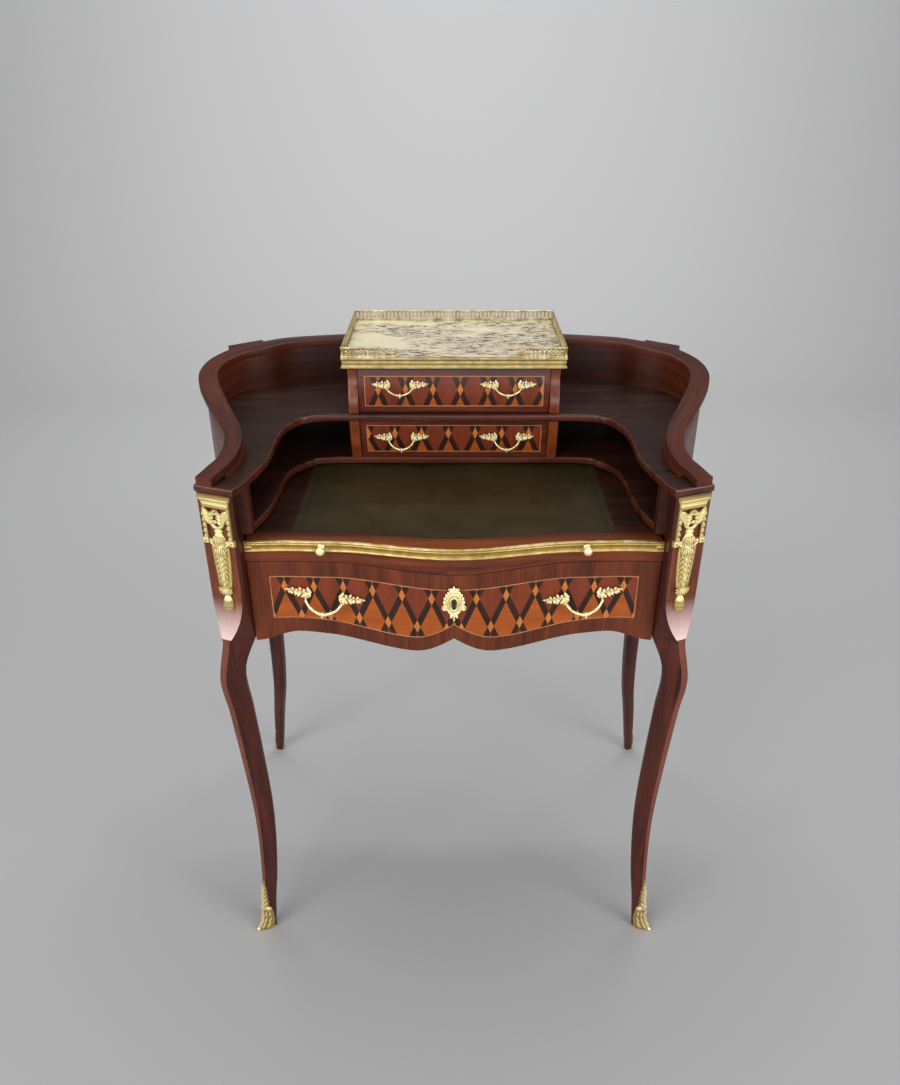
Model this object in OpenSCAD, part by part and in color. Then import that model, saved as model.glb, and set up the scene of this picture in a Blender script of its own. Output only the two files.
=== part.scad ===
// A lady's writing desk: cabriole legs, a serpentine drawer, a pull-out writing
// board, an S-curved gallery and a small cabinet of drawers under a marble tray.
// Millimetres. +X is the sitter's right, +Y is the back, +Z is up, floor at z = 0.

/* [Heights] */
// Floor to the lowest point of the drawer's shaped edge
apron_z = 592.5; // [570:0.5:620]
// Height of the main drawer's front at its ends above that point
front_h = 129.5; // [120:0.5:140]
// Thickness of the rail over the main drawer
front_rail_t = 15.8; // [14:0.2:20]
// Thickness of the pull-out writing board
slide_t = 13; // [11:0.5:16]
// Thickness of the compartment floor
floor_t = 10.5; // [8:0.5:14]
// Clear height of the open compartments
lower_h = 64; // [56:1:80]
// Thickness of the upper shelf
shelf_t = 11; // [9:0.5:14]
// Thickness of the gallery's capping
cap_t = 11; // [9:0.5:14]
// Rise of the gallery from its front ends to its back
gallery_rise = 54; // [46:1:64]
// Thickness of the small cabinet's top board
cabinet_top_t = 10.5; // [8:0.5:14]
// Thickness of the marble slab
marble_t = 15; // [12:0.5:20]
// Height of the pierced gallery round the marble
tray_rail_h = 15; // [12:0.5:20]

/* [Plan] */
// Inside half width of the gallery at its widest
belly_x = 352; // [344:1:362]
// Inside half width at the neck, behind the front legs
neck_x = 277; // [272:1:282]
// Inside face of the back, at the middle
back_y = 195; // [188:1:204]
// Line of the gallery's front ends
front_y = -236; // [-242:1:-230]
// Thickness of the curved walls
wall_t = 20; // [16:1:22]
// How far the serpentine drawer front bows forward
bow = 22; // [16:1:26]
// Setback of the drawer front's ends from the gallery's front ends
front_set = 20; // [17:1:24]

/* [Legs] */
// Width of the canted face of a front post
cant_w = 50; // [46:0.5:52]
// Depth of a front post
post_d = 34; // [30:1:38]
// Turn of the canted face away from the front
cant_deg = 20; // [18:1:22]
// Width of the strip that runs down the leg's outer edge, at the knee
strip_w = 10; // [8:0.5:12]
// Width of a rear stile
stile_w = 56; // [50:1:60]
// Depth of a rear stile
stile_d = 37; // [35:1:39]
// Height of a sabot's plain cup
sabot_cup_h = 52; // [44:1:60]
// Height of a sabot with its leaf
sabot_h = 118; // [104:1:130]
// Thickness of the cast brass mounts at their edges
mount_t = 2.2; // [1.6:0.1:3]

/* [Main drawer] */
// Thickness of the drawer front's core
front_t = 17; // [14:0.5:20]
// Thickness of the veneers
veneer_t = 1; // [0.8:0.1:1.5]
// Dip of the drawer's upper edge at the middle
top_dip = 7; // [0:0.5:9]
// Width of the crossbanding above and below the marquetry
band_w = 22; // [18:0.5:26]
// Half width of the marquetry panel
panel_x = 245; // [235:1:250]
// Width of the light stringing
string_w = 1.4; // [1:0.1:2]
// Depth of the drawer, from the ends of its front to its back
drawer_d = 365; // [330:1:372]
// Thickness of the drawer's sides
drawer_side_t = 11; // [9:0.5:14]
// Height of the drawer's sides
drawer_side_h = 92; // [84:1:96]
// Thickness of the drawer's bottom
drawer_bottom_t = 6; // [4:0.5:8]
// Width of a drawer runner
runner_w = 30; // [26:1:34]

/* [Writing board] */
// Depth of the writing board behind its moulding
slide_d = 365; // [330:1:368]
// Width of the wooden border at the sides of the leather
border_w = 57; // [50:1:64]
// Thickness of the leather
leather_t = 1; // [0.8:0.1:1.5]
// Depth of the brass moulding on the front edge
moulding_t = 5; // [4:0.5:7]
// Length of a brass knob
knob_l = 15; // [12:0.5:18]
// Radius of a brass knob
knob_r = 6; // [5:0.25:7.5]
// Distance of the knobs from the middle
knob_x = 172; // [150:1:190]

/* [Small cabinet] */
// Outside half width of the small cabinet
cabinet_x = 155.5; // [151:0.5:158]
// Thickness of its sides
cabinet_t = 14.5; // [12:0.5:16]
// Front line of the small cabinet at the shelf
cabinet_y = 20; // [16:1:24]
// How far the drawer fronts stand behind the cabinet's sides
small_set = 5; // [3:0.5:7]
// Thickness of the small drawers' fronts
small_front_t = 13; // [10:0.5:15]
// Thickness of the small drawers' sides
small_side_t = 7; // [5:0.5:9]
// Width of the plain edge round the small drawers' marquetry
small_band = 9; // [6:0.5:12]
// Half width of the marble tray
tray_x = 160; // [157:1:166]
// Depth of the marble tray
tray_d = 208; // [200:1:212]
// Distance from the middle at which the front gallery begins to drop
return_x = 106; // [90:1:120]

/* [Brass fittings] */
// Length of a main pull
pull_l = 109; // [100:1:114]
// Drop of a main pull's arc
pull_drop = 21; // [17:1:24]
// Distance of the main pulls from the middle
pull_x = 172; // [166:1:176]
// Height of the main pulls above the drawer's lowest edge
pull_h = 80; // [76:1:86]
// Length of a small pull
small_pull_l = 83; // [76:1:88]
// Drop of a small pull's arc
small_pull_drop = 14; // [12:1:17]
// Distance of the small pulls from the middle
small_pull_x = 79; // [74:1:84]
// Height of the escutcheon
escutcheon_h = 55; // [50:1:58]
// Height of the keyhole above the drawer's lowest edge
key_h = 81.5; // [77:0.5:86]
// Width of the lock's bolt
bolt_w = 18; // [14:0.5:22]
// Throw of the lock's bolt
bolt_throw = 7; // [6:0.5:8]
// Length of a gilt mount on a front post
chute_l = 168; // [150:1:172]

/* [Clearances] */
// Running gap between moving pieces
gap = 0.6; // [0.4:0.05:0.8]
// Gap between a drawer's side and its guide
side_gap = 1; // [0.6:0.1:1.4]
// Clearance round pins and screws
pin_gap = 0.1; // [0.05:0.01:0.2]

/* [Hidden] */

mahogany = "#5a2c1e";
dark_mahogany = "#3c1c14";
inlay = "#a5552a";
light_wood = "#b98248";
oak = "#a9865a";
gilt = "#d9bf6c";
leather = "#37331f";
marble = "#e8dfc6";
steel = "#8b8b86";
fine = 48;

// Heights that follow from the driving sizes
z_front_top = apron_z + front_h;
z_rail = z_front_top + gap;
z_slide = z_rail + front_rail_t + gap;
slide_lip = 2;
z_floor = z_slide + slide_t + slide_lip + 0.5;
z_shelf = z_floor + floor_t + lower_h;
z_shelf_top = z_shelf + shelf_t;
z_cap_front = z_shelf_top + cap_t;
z_cap_back = z_cap_front + gallery_rise;
z_marble = z_cap_back + cabinet_top_t;
z_tray = z_marble + marble_t + 0.5;
post_tip_z = apron_z + 9.5;
reach = 500;

function smooth(t) = let (s = min(1, max(0, t))) s * s * (3 - 2 * s);
function mix(a, b, t) = a + (b - a) * t;
function last(list) = list[len(list) - 1];
function flip(points) = [for (i = [len(points) - 1 : -1 : 0]) [-points[i][0], points[i][1]]];
function backwards(points) = [for (i = [len(points) - 1 : -1 : 0]) points[i]];
function tail(points) = [for (i = [1 : len(points) - 1]) points[i]];

// Smooth curve through points, with steps points to each stretch
function through(a, b, c, d, t) = 0.5 * (2 * b + (c - a) * t + (2 * a - 5 * b + 4 * c - d) * t * t
    + (3 * b - a - 3 * c + d) * t * t * t);
function curve(p, steps) = concat([for (i = [0 : len(p) - 2]) for (k = [0 : steps - 1])
    through(p[max(i - 1, 0)], p[i], p[i + 1], p[min(i + 2, len(p) - 1)], k / steps)], [last(p)]);

// A line beside another at a distance that may change along it
function beside(p, w) = [for (i = [0 : len(p) - 1])
    let (t = p[min(i + 1, len(p) - 1)] - p[max(i - 1, 0)], u = t / norm(t)) p[i] + w[i] * [-u[1], u[0]]];
function band(p, w) = concat(p, backwards(beside(p, w)));

// The gallery's inner line, from the back's middle to the right front end
belly_y = back_y - 130;
neck_y = front_y + 90;
inner_half = curve([[0, back_y], [belly_x - 222, back_y - 4], [belly_x - 106, back_y - 24],
    [belly_x - 62, belly_y + 82], [belly_x - 27, belly_y + 60], [belly_x - 6, belly_y + 30],
    [belly_x, belly_y], [belly_x - 5, belly_y - 29], [belly_x - 18, belly_y - 63],
    [belly_x - 43, belly_y - 118], [neck_x + 9, neck_y + 42], [neck_x, neck_y],
    [neck_x + 2.5, neck_y - 39], [neck_x + 11.5, neck_y - 65], [neck_x + 20, front_y]], 4);
inner_line = concat(flip(inner_half), tail(inner_half));
// The capping narrows from the back to its front ends
cap_w_back = wall_t + 8;
cap_w_front = wall_t + 2;
function cap_w(y) = mix(cap_w_front, cap_w_back, smooth((y - front_y) / 300));
function cap_z(y) = let (t = min(1, max(0, (y - front_y) / (back_y - 24 - front_y))))
    z_cap_front + gallery_rise * mix(t, smooth(t), 0.3);

// A front post's frame: origin at the middle of its canted face
post_o = [neck_x + 20, front_y + 2];
function post_at(p, q) = post_o + p * [cos(cant_deg), sin(cant_deg)] + q * [-sin(cant_deg), cos(cant_deg)];
function post_depth(pt) = let (r = pt - post_o) -r[0] * sin(cant_deg) + r[1] * cos(cant_deg);
// Plane of the posts' inner sides, which the rails and boards meet
post_x = neck_x - 4;
post_in = (post_x - post_o[0]) / cos(cant_deg);
// Inner line again, without the stretch that the front posts take
inner_kept = [for (p = inner_half) if (post_depth(p) > post_d) p];
// Inner face of the back for any x short of the corners
back_line = [for (p = inner_half) if (p[1] > belly_y + 70) p];

// A rear stile's frame: origin at the middle of its outer face
stile_deg = -28.7;
stile_o = [belly_x - 20.5, belly_y + 100.5];
function stile_at(p, q) = stile_o - p * [cos(stile_deg), sin(stile_deg)]
    + q * [sin(stile_deg), -cos(stile_deg)];

// Serpentine line of the drawer front's face, for any x
bow_x = 172;
end_x = post_x - 1;
hollow = 2;
front_end_y = front_y + front_set;
function face_y(x) = let (a = abs(x)) a < bow_x
    ? front_end_y - bow * pow(cos(90 * a / bow_x), 2)
    : front_end_y + hollow * pow(sin(180 * min(1, (a - bow_x) / (end_x - bow_x))), 2);
function face_line(half, dy, steps) = [for (i = [-steps : steps])
    let (x = half * i / steps) [x, face_y(x) + dy]];
// Shaped lower edge of the drawer front, for any x
lobe_x = 56;
arch_x = 210;
cusp_h = 23.5;
arch_h = 19.5;
ear_drop = 14;
function edge_z(x) = let (a = abs(x)) apron_z + (a < lobe_x ? cusp_h * (1 - sin(90 * a / lobe_x))
    : a < arch_x ? arch_h * pow(sin(90 * (a - lobe_x) / (arch_x - lobe_x)), 2)
    : arch_h - ear_drop * pow(sin(90 * (a - arch_x) / (end_x - arch_x)), 2));

// Its upper edge, which dips towards the middle
function top_z(x) = let (a = abs(x)) z_front_top - (a < bow_x ? top_dip * pow(cos(90 * a / bow_x), 2) : 0);

// Front legs: how far the leg leans out, and its girth, at each height
lean_dir = [0.8, -0.6];
function leg_lean(t) = [0, 12, 7, 2.5, -2.3, -1.9, 2, 7.6, 9.6][t];
function leg_girth(t) = [1, 1.06, 1.01, 0.98, 0.93, 0.87, 0.79, 0.7, 0.62][t];
function rear_lean(t) = [6, 16, 25, 30, 33, 42, 61, 73, 84][t];
rear_dir = [0.56, 0.83];
leg_share = [1, 0.9, 0.8, 0.66, 0.46, 0.33, 0.2, 0.1, 0];
// Value at height z of a list that goes with leg_share
function along(z, k) = let (s = z / post_tip_z,
    i = min(7, max(0, len([for (v = leg_share) if (v > s) v]) - 1)))
    through(k[max(i - 1, 0)], k[i], k[i + 1], k[min(i + 2, 8)],
        (leg_share[i] - min(s, 1)) / (leg_share[i] - leg_share[i + 1]));
leans = [for (t = [0 : 8]) leg_lean(t)];
girths = [for (t = [0 : 8]) leg_girth(t)];
rear_leans = [for (t = [0 : 8]) rear_lean(t)];

taper_h = 84;
ear_h = 50;
strip_p = 15;
return_w = 4;
// Outline of a front leg at height z, in its post's frame, as six corners
function leg_six(z) = let (
    u = pow(1 - min(1, max(0, (z - post_tip_z) / taper_h)), 2),
    e = z > post_tip_z ? 0 : 1 - pow(1 - min(1, (post_tip_z - z) / ear_h), 2),
    k = z > post_tip_z ? 1 : along(z, girths),
    c = z > post_tip_z ? strip_w / 2 : strip_w / 2 * mix(0.5, 1, smooth(z / post_tip_z)),
    half = cant_w / 2,
    in_q = mix(return_w, 26, u),
    in_p = post_in + in_q * tan(cant_deg))
    [[mix(-half + return_w, strip_p - c, u), 0],
    [mix(half, strip_p + c, u), 0],
    [mix(half - 1, strip_p + c + 10 * k, u), 17 * mix(1, k, e)],
    [mix(half - 2.4, mix(half - 2.4, strip_p + c - 5 * k, e), u), mix(post_d, 36 * k, e)],
    [mix(post_in + post_d * tan(cant_deg), strip_p - c - 7 * k, e), mix(post_d, 36 * k, e)],
    [mix(in_p, strip_p - c - 19 * k, e), mix(in_q, 19 * k, e)]];
leg_back = 14;
function leg_shift(z) = z > post_tip_z ? [0, 0]
    : along(z, leans) * lean_dir + [0, leg_back * smooth((post_tip_z - z) / 400)];
function leg_ring(z) = [for (v = leg_six(z)) post_at(v[0], v[1]) + leg_shift(z)];

// Outline of a rear leg at height z, in its stile's frame
rear_taper_h = 60;
function rear_six(z) = let (
    u = pow(1 - min(1, max(0, (z - post_tip_z) / rear_taper_h)), 2),
    e = z > post_tip_z ? 0 : 1 - pow(1 - min(1, (post_tip_z - z) / ear_h), 2),
    k = z > post_tip_z ? 1 : along(z, girths),
    c = strip_w / 2 * (z > post_tip_z ? 1 : mix(0.5, 1, smooth(z / post_tip_z))),
    half = stile_w / 2)
    [[mix(-half, -c, u), 0], [mix(half, c, u), 0],
    [mix(half, c + 14 * k, e), mix(mix(0, 14, u), 15 * k, e)],
    [mix(half, 4 * k, e), mix(stile_d, 33 * k, e)],
    [mix(-half, -4 * k, e), mix(stile_d, 33 * k, e)],
    [mix(-half, -c - 14 * k, e), mix(mix(0, 14, u), 15 * k, e)]];
function rear_shift(z) = z > post_tip_z ? [0, 0]
    : smooth((post_tip_z - z) / ear_h) * along(z, rear_leans) * rear_dir;
function rear_ring(z) = [for (v = rear_six(z)) stile_at(v[0], v[1]) + rear_shift(z)];

leg_foot_z = 3;
leg_levels = concat([for (i = [0 : 25]) mix(leg_foot_z, post_tip_z - ear_h, i / 26)],
    [for (i = [0 : 6]) post_tip_z - ear_h + ear_h * i / 7],
    [for (i = [0 : 9]) post_tip_z + taper_h * i / 9]);

// Solid through a stack of closed rings, all with the same number of corners
module stack(rings) {
    n = len(rings[0]);
    m = len(rings);
    points = [for (r = rings) for (v = r) v];
    sides = [for (j = [0 : m - 2]) for (i = [0 : n - 1]) for (half = [0, 1])
        let (k = (i + 1) % n, a = j * n + i, b = j * n + k, c = a + n, d = b + n)
        half == 0 ? [a, c, b] : [b, c, d]];
    polyhedron(points = points, convexity = 6,
        faces = concat([[for (i = [0 : n - 1]) i]], sides, [[for (i = [n - 1 : -1 : 0]) (m - 1) * n + i]]));
}

// A shape of one side, as it is on the right and mirrored on the left
module on_side(side) {
    if (side > 0) children();
    else mirror([1, 0, 0]) children();
}

// A shape drawn in x and z, standing across the desk from y = a to y = b
module across(a, b) {
    translate([0, b, 0]) rotate([90, 0, 0]) linear_extrude(b - a) children();
}

// A shape drawn in y and z, running from x = a to x = b
module along_x(a, b) {
    translate([a, 0, 0]) rotate([90, 0, 90]) linear_extrude(b - a) children();
}

module pin_holes() {
    for (h = chute_pin_z) translate([0, 0, h]) chute_pin(pin_r + pin_gap, pin_in + 1, pin_in + 1);
}

module front_leg(side) {
    color(mahogany) on_side(side) difference() {
        stack([for (z = concat(leg_levels, [z_shelf])) [for (v = leg_ring(z)) [v[0], v[1], z]]]);
        pin_holes();
    }
}

module rear_leg(side) {
    color(mahogany) on_side(side) intersection() {
        stack([for (z = concat(leg_levels, [z_cap_back])) [for (v = rear_ring(z)) [v[0], v[1], z]]]);
        along_x(0, reach) polygon(concat([[belly_y, 0], [reach, 0], [reach, z_cap_back - cap_t]],
            [for (y = backwards(wall_ys)) if (y > belly_y) [y, cap_z(y) - cap_t]],
            [[belly_y, cap_z(belly_y) - cap_t]]));
    }
}

// Curved walls

module stile_plan(more) {
    polygon([for (v = [[-1, -1], [1, -1], [1, 1], [-1, 1]])
        stile_at(v[0] * stile_w / 2, v[1] < 0 ? -more : stile_d + more)]);
}

module wall_plan() {
    difference() {
        polygon(band(inner_line, [for (p = inner_line) wall_t]));
        for (s = [0, 1]) mirror([s, 0, 0]) {
            stile_plan(8);
            polygon([post_at(-60, -60), post_at(60, -60), post_at(60, post_d), post_at(-60, post_d)]);
        }
    }
}

wall_ys = [for (i = [0 : 24]) mix(front_y, back_y + wall_t + 8, i / 24)];
side_edge_z = apron_z + 11.5;
side_arch = 12;
function side_low(y) = side_edge_z + side_arch
    * pow(sin(180 * min(1, max(0, (y - front_y - 40) / (stile_o[1] - front_y - 70)))), 2);

module wall_profile() {
    polygon(concat([for (y = wall_ys) [y, side_low(y)]],
        [for (y = backwards(wall_ys)) [y, cap_z(y) - cap_t]]));
}

module side_wall(side) {
    color(mahogany) on_side(side) intersection() {
        linear_extrude(z_cap_back) intersection() {
            wall_plan();
            union() {
                translate([0, -reach]) square([reach, reach + stile_o[1] - stile_clear]);
                translate([stile_o[0], -reach]) square([reach, 2 * reach]);
            }
        }
        along_x(0, reach) wall_profile();
    }
}

back_edge_z = side_edge_z + 6;
stile_clear = 40;
module back_panel() {
    color(dark_mahogany) intersection() {
        translate([0, 0, back_edge_z]) linear_extrude(z_cap_back - back_edge_z) intersection() {
            wall_plan();
            translate([-stile_o[0], stile_o[1] - stile_clear]) square([2 * stile_o[0], reach]);
        }
        along_x(-reach, reach) wall_profile();
    }
}

module gallery_cap() {
    color(mahogany) intersection() {
        union() {
            linear_extrude(z_cap_back + 1) polygon(band(inner_line, [for (p = inner_line) cap_w(p[1])]));
            for (s = [-1, 1]) on_side(s) linear_extrude(z_cap_back + 1) stile_plan(cap_lip);
        }
        along_x(-reach, reach) polygon(concat([for (y = wall_ys) [y, cap_z(y) - cap_t]],
            [for (y = backwards(wall_ys)) [y, cap_z(y)]]));
    }
}

// Shelf and compartment floor

arm_x = neck_x - 33;
shelf_set = 8;
cap_lip = 1.5;
shelf_edge = curve([[0, cabinet_y - shelf_set], [arm_x - 64, cabinet_y - shelf_set],
    [arm_x - 26, cabinet_y - 18], [arm_x - 12, cabinet_y - 36], [arm_x - 3, cabinet_y - 61],
    [arm_x, cabinet_y - 91], [arm_x, front_y + 95], [arm_x + 5, front_y + 64],
    [arm_x + 12, front_y + 33], [arm_x + 18, front_y + 9], post_at(-29, -cap_lip)], 5);
shelf_half = concat(shelf_edge, [post_at(cant_w / 2 + cap_lip, -cap_lip),
    post_at(cant_w / 2 - 1, post_d), post_at(-14, post_d)], backwards(inner_kept));

floor_edge = curve([[0, cabinet_y + 9], [arm_x - 59, cabinet_y + 9], [arm_x - 26, cabinet_y - 5],
    [arm_x - 12, cabinet_y - 21], [arm_x - 1, cabinet_y - 43], [arm_x + 2, cabinet_y - 73],
    [arm_x + 4.5, front_y + 116], [arm_x + 7, front_y + 93], [arm_x + 11, front_y + 73],
    [arm_x + 19, front_y + 45], [arm_x + 29, front_y + 18]], 5);
floor_half = concat(floor_edge, [[post_x, front_y + 18], [post_x, post_at(-12, post_d)[1]]],
    backwards(inner_kept));

function whole(half) = concat(half, [for (i = [1 : len(half) - 2]) flip(half)[i]]);

// A board's plan, let in round the rear stiles
module board_plan(half) {
    difference() {
        polygon(whole(half));
        for (s = [0, 1]) mirror([s, 0, 0]) stile_plan(0.02);
    }
}

module upper_shelf() {
    color(dark_mahogany) translate([0, 0, z_shelf]) linear_extrude(shelf_t) board_plan(shelf_half);
}

module floor_board() {
    color(dark_mahogany) translate([0, 0, z_floor]) linear_extrude(floor_t) board_plan(floor_half);
}

block_w = 14;
module corner_blocks() {
    color(light_wood) for (s = [0, 1]) mirror([s, 0, 0])
        translate([post_x - block_w, front_y + 20, z_floor + floor_t])
            cube([block_w, block_w, lower_h]);
}

// Front rail, with the mortise for the lock's bolt

front_rail_d = 44;
rail_x = post_x;
bolt_t = 7;
bolt_y = front_end_y - bow + veneer_t + front_t + 7;
module front_rail() {
    color(mahogany) difference() {
        intersection() {
            linear_extrude(z_slide)
                polygon(concat(face_line(rail_x, 0, 24), [[rail_x, front_end_y + front_rail_d - bow],
                    [-rail_x, front_end_y + front_rail_d - bow]]));
            across(-reach, 0) polygon(concat(
                [for (i = [-24 : 24]) let (x = rail_x * i / 24) [x, top_z(x) + gap]],
                [[rail_x, z_rail + front_rail_t], [-rail_x, z_rail + front_rail_t]]));
        }
        translate([-bolt_w / 2 - gap, bolt_y - bolt_t / 2 - gap, z_front_top - top_dip - 1])
            cube([bolt_w + 2 * gap, bolt_t + 2 * gap, bolt_throw + 3.5]);
    }
}

// Bearers under the writing board and runners under the drawer, held by the posts and the back

bar_x = neck_x - 0.3;
bar_front = front_end_y + hollow + veneer_t + front_t + 1;
bar_back = lookup(bar_x, back_line) - 0.2;
module slide_bearer(side) {
    color(oak) on_side(side)
        translate([bar_x - runner_w, front_end_y + front_rail_d - bow, z_rail])
            cube([runner_w, bar_back - front_end_y - front_rail_d + bow, front_rail_t]);
}

drawer_half = neck_x - 15;
z_runner = apron_z + 26.5;
runner_t = 15;
guide_h = 22;
module drawer_runner(side) {
    color(oak) on_side(side) {
        translate([bar_x - runner_w, bar_front, z_runner - gap - runner_t])
            cube([runner_w, bar_back - bar_front, runner_t]);
        translate([drawer_half + side_gap, bar_front, z_runner - gap - runner_t])
            cube([bar_x - drawer_half - side_gap, bar_back - bar_front, runner_t + guide_h]);
    }
}

// Small cabinet: sides with an ogee front, a top board, and cheeks below the shelf

upper_h = z_cap_back - z_shelf_top;
cabinet_back = lookup(cabinet_x, back_line) - 0.2;
function ogee(t) = -3 * sin(360 * t) + 6 * t;
function cheek_line(t) = 12 * pow(1 - t, 1.5) - 2;
profile_n = 16;

module cabinet_side(side) {
    color(mahogany) on_side(side) along_x(cabinet_x - cabinet_t, cabinet_x)
        polygon(concat([for (i = [0 : profile_n])
            [cabinet_y + ogee(i / profile_n), z_shelf_top + upper_h * i / profile_n]],
            [[cabinet_back, z_cap_back], [cabinet_back, z_shelf_top]]));
}

module cheek(side) {
    color(mahogany) on_side(side) along_x(cabinet_x - cabinet_t, cabinet_x)
        polygon(concat([for (i = [0 : profile_n])
            [cabinet_y - 1 + cheek_line(i / profile_n), z_floor + floor_t + lower_h * i / profile_n]],
            [[cabinet_back, z_shelf], [cabinet_back, z_floor + floor_t]]));
}

tray_front = cabinet_y - 24;
module cabinet_top() {
    color(mahogany) translate([-cabinet_x, cabinet_y + 4, z_cap_back])
        cube([2 * cabinet_x, tray_front + tray_d - 8 - cabinet_y, cabinet_top_t]);
}

// Marble tray: slab, moulded band and pierced gallery

band_t = 5;
module tray_ring(grow, wide) {
    difference() {
        translate([-tray_x - grow, tray_front - grow]) square([2 * (tray_x + grow), tray_d + 2 * grow]);
        translate([-tray_x - grow + wide, tray_front - grow + wide])
            square([2 * (tray_x + grow - wide), tray_d + 2 * (grow - wide)]);
    }
}

module marble_top() {
    color(marble) translate([-tray_x + band_t, tray_front + band_t, z_marble])
        cube([2 * (tray_x - band_t), tray_d - 2 * band_t, marble_t]);
}

module tray_band() {
    h = z_tray - z_marble;
    color(gilt) {
        translate([0, 0, z_marble]) linear_extrude(h / 5) tray_ring(0, band_t);
        translate([0, 0, z_marble + h / 5]) linear_extrude(3 * h / 5) tray_ring(-1, band_t - 1);
        translate([0, 0, z_marble + 4 * h / 5]) linear_extrude(h / 5) tray_ring(0, band_t);
    }
}

gallery_bar = 2.2;
gallery_in = 0.5;
baluster_r = 1.1;
baluster_pitch = 8;
swoop = 20;
z_gallery_top = z_tray + tray_rail_h;
// Height of the top bar's underside along the front, which drops at its inner ends
function return_z(x) = z_gallery_top - gallery_bar
    - (tray_rail_h - 2.5 * gallery_bar) * smooth((return_x - x) / swoop);

module front_return() {
    xs = [for (i = [0 : 10]) mix(return_x - swoop, return_x, i / 10)];
    y = tray_front + gallery_in;
    end = tray_x - gallery_in;
    across(y, y + gallery_bar) {
        polygon(concat([for (x = xs) [x, return_z(x)]], [[end, return_z(end)], [end, z_gallery_top]],
            [for (x = backwards(xs)) [x, return_z(x) + gallery_bar]]));
        translate([return_x - swoop - gallery_bar, z_tray])
            square([end - return_x + swoop + gallery_bar, gallery_bar]);
        translate([return_x - swoop - gallery_bar, z_tray]) square([gallery_bar + 0.5, 2.5 * gallery_bar]);
    }
    for (x = [return_x - swoop / 2 : baluster_pitch : end - 2])
        translate([x, y + gallery_bar / 2, z_tray])
            cylinder(r = baluster_r, h = return_z(x) - z_tray + gallery_bar / 2, $fn = 6);
}

module tray_gallery() {
    left = tray_x - gallery_in;
    front = tray_front + gallery_in;
    back = tray_front + tray_d - gallery_in;
    mid = gallery_bar / 2;
    rows = [for (z = [z_tray, z_gallery_top - gallery_bar]) z];
    color(gilt) {
        for (z = rows) for (s = [0, 1]) mirror([s, 0, 0])
            translate([left - gallery_bar, front, z]) cube([gallery_bar, back - front, gallery_bar]);
        for (z = rows) translate([-left, back - gallery_bar, z]) cube([2 * left, gallery_bar, gallery_bar]);
        for (s = [0, 1]) mirror([s, 0, 0]) front_return();
        for (s = [0, 1]) mirror([s, 0, 0])
            for (y = [front + baluster_pitch : baluster_pitch : back - 3])
                translate([left - mid, y, z_tray]) cylinder(r = baluster_r, h = tray_rail_h - mid, $fn = 6);
        for (i = [-floor(left / baluster_pitch) + 1 : floor(left / baluster_pitch) - 1])
            translate([i * baluster_pitch, back - mid, z_tray])
                cylinder(r = baluster_r, h = tray_rail_h - mid, $fn = 6);
    }
}

// Gilt mounts on the front posts

chute_top = z_shelf - 0.5;
chute_w = cant_w - return_w - 2;
pin_r = 1.2;
pin_in = 9;
chute_pin_z = [chute_top - 34, chute_top - chute_l + 52];
chute_x = -1;
// The capital's front corner is the foremost point, and the rear toes reach as far back
capital_d = 7;
front_most = post_at(chute_x - chute_w / 2, -capital_d)[1];
module on_cant() {
    translate([post_o[0], post_o[1], 0]) rotate([0, 0, cant_deg]) children();
}

module chute_pin(r, inside, outside) {
    on_cant() translate([chute_x, inside, 0]) rotate([90, 0, 0])
        cylinder(r = r, h = inside + outside, $fn = fine);
}

module chute(side) {
    w = chute_w / 2;
    l = chute_l;
    color(gilt) on_side(side) difference() {
        on_cant() translate([chute_x, 0, chute_top]) {
            // moulded capital in three steps
            across(-capital_d, 0) translate([-w, -5]) square([2 * w, 5]);
            across(-5.5, 0) translate([-w + 2, -10]) square([2 * w - 4, 6]);
            across(-4, 0) translate([-w + 4, -17]) square([2 * w - 8, 8]);
            // plate of the swags, then the hanging leaves, narrowing to the drop
            across(-mount_t, 0) polygon([[-w + 4, -16], [-w + 2, -34], [-w + 3, -58], [-w + 7, -66],
                [-9, -72], [-8, -100], [-6, -128], [6, -128], [8, -100], [9, -72],
                [w - 7, -66], [w - 3, -58], [w - 2, -34], [w - 4, -16]]);
            for (x = [-1, 1]) across(-5, 0) translate([x * (w - 3) - 4, -62]) square([8, 8]);
            translate([0, 0, -30]) rotate([90, 0, 0]) rotate_extrude($fn = fine)
                translate([10, 2.6]) circle(r = 2.6, $fn = 24);
            across(-5, 0) polygon([[-6, -44], [0, -40], [6, -44], [7, -70], [4, -110], [0, -130],
                [-4, -110], [-7, -70]]);
            translate([0, 0, -133]) rotate([90, 0, 0]) cylinder(r1 = 9, r2 = 5, h = 5, $fn = fine);
            intersection() {
                translate([0, -2, -l]) rotate_extrude($fn = fine)
                    polygon([[0, 0], [2.5, 2], [4.5, 8], [6, 15], [6.5, 22], [5, 27], [3, 34], [0, 34]]);
                translate([-10, -20, -l]) cube([20, 20, 40]);
            }
        }
        for (h = chute_pin_z) translate([0, 0, h]) chute_pin(pin_r + pin_gap, 1, 20);
    }
}

module chute_pins() {
    color(gilt) for (s = [0, 1]) mirror([s, 0, 0]) for (h = chute_pin_z) translate([0, 0, h]) {
        chute_pin(pin_r, pin_in, 5);
        on_cant() translate([chute_x, -5, 0]) rotate([90, 0, 0]) cylinder(r = 2.4, h = 1.2, $fn = fine);
    }
}

// Gilt feet: a cup round the leg's outer faces, a sole, a leaf up the edge and a flared toe

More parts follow.
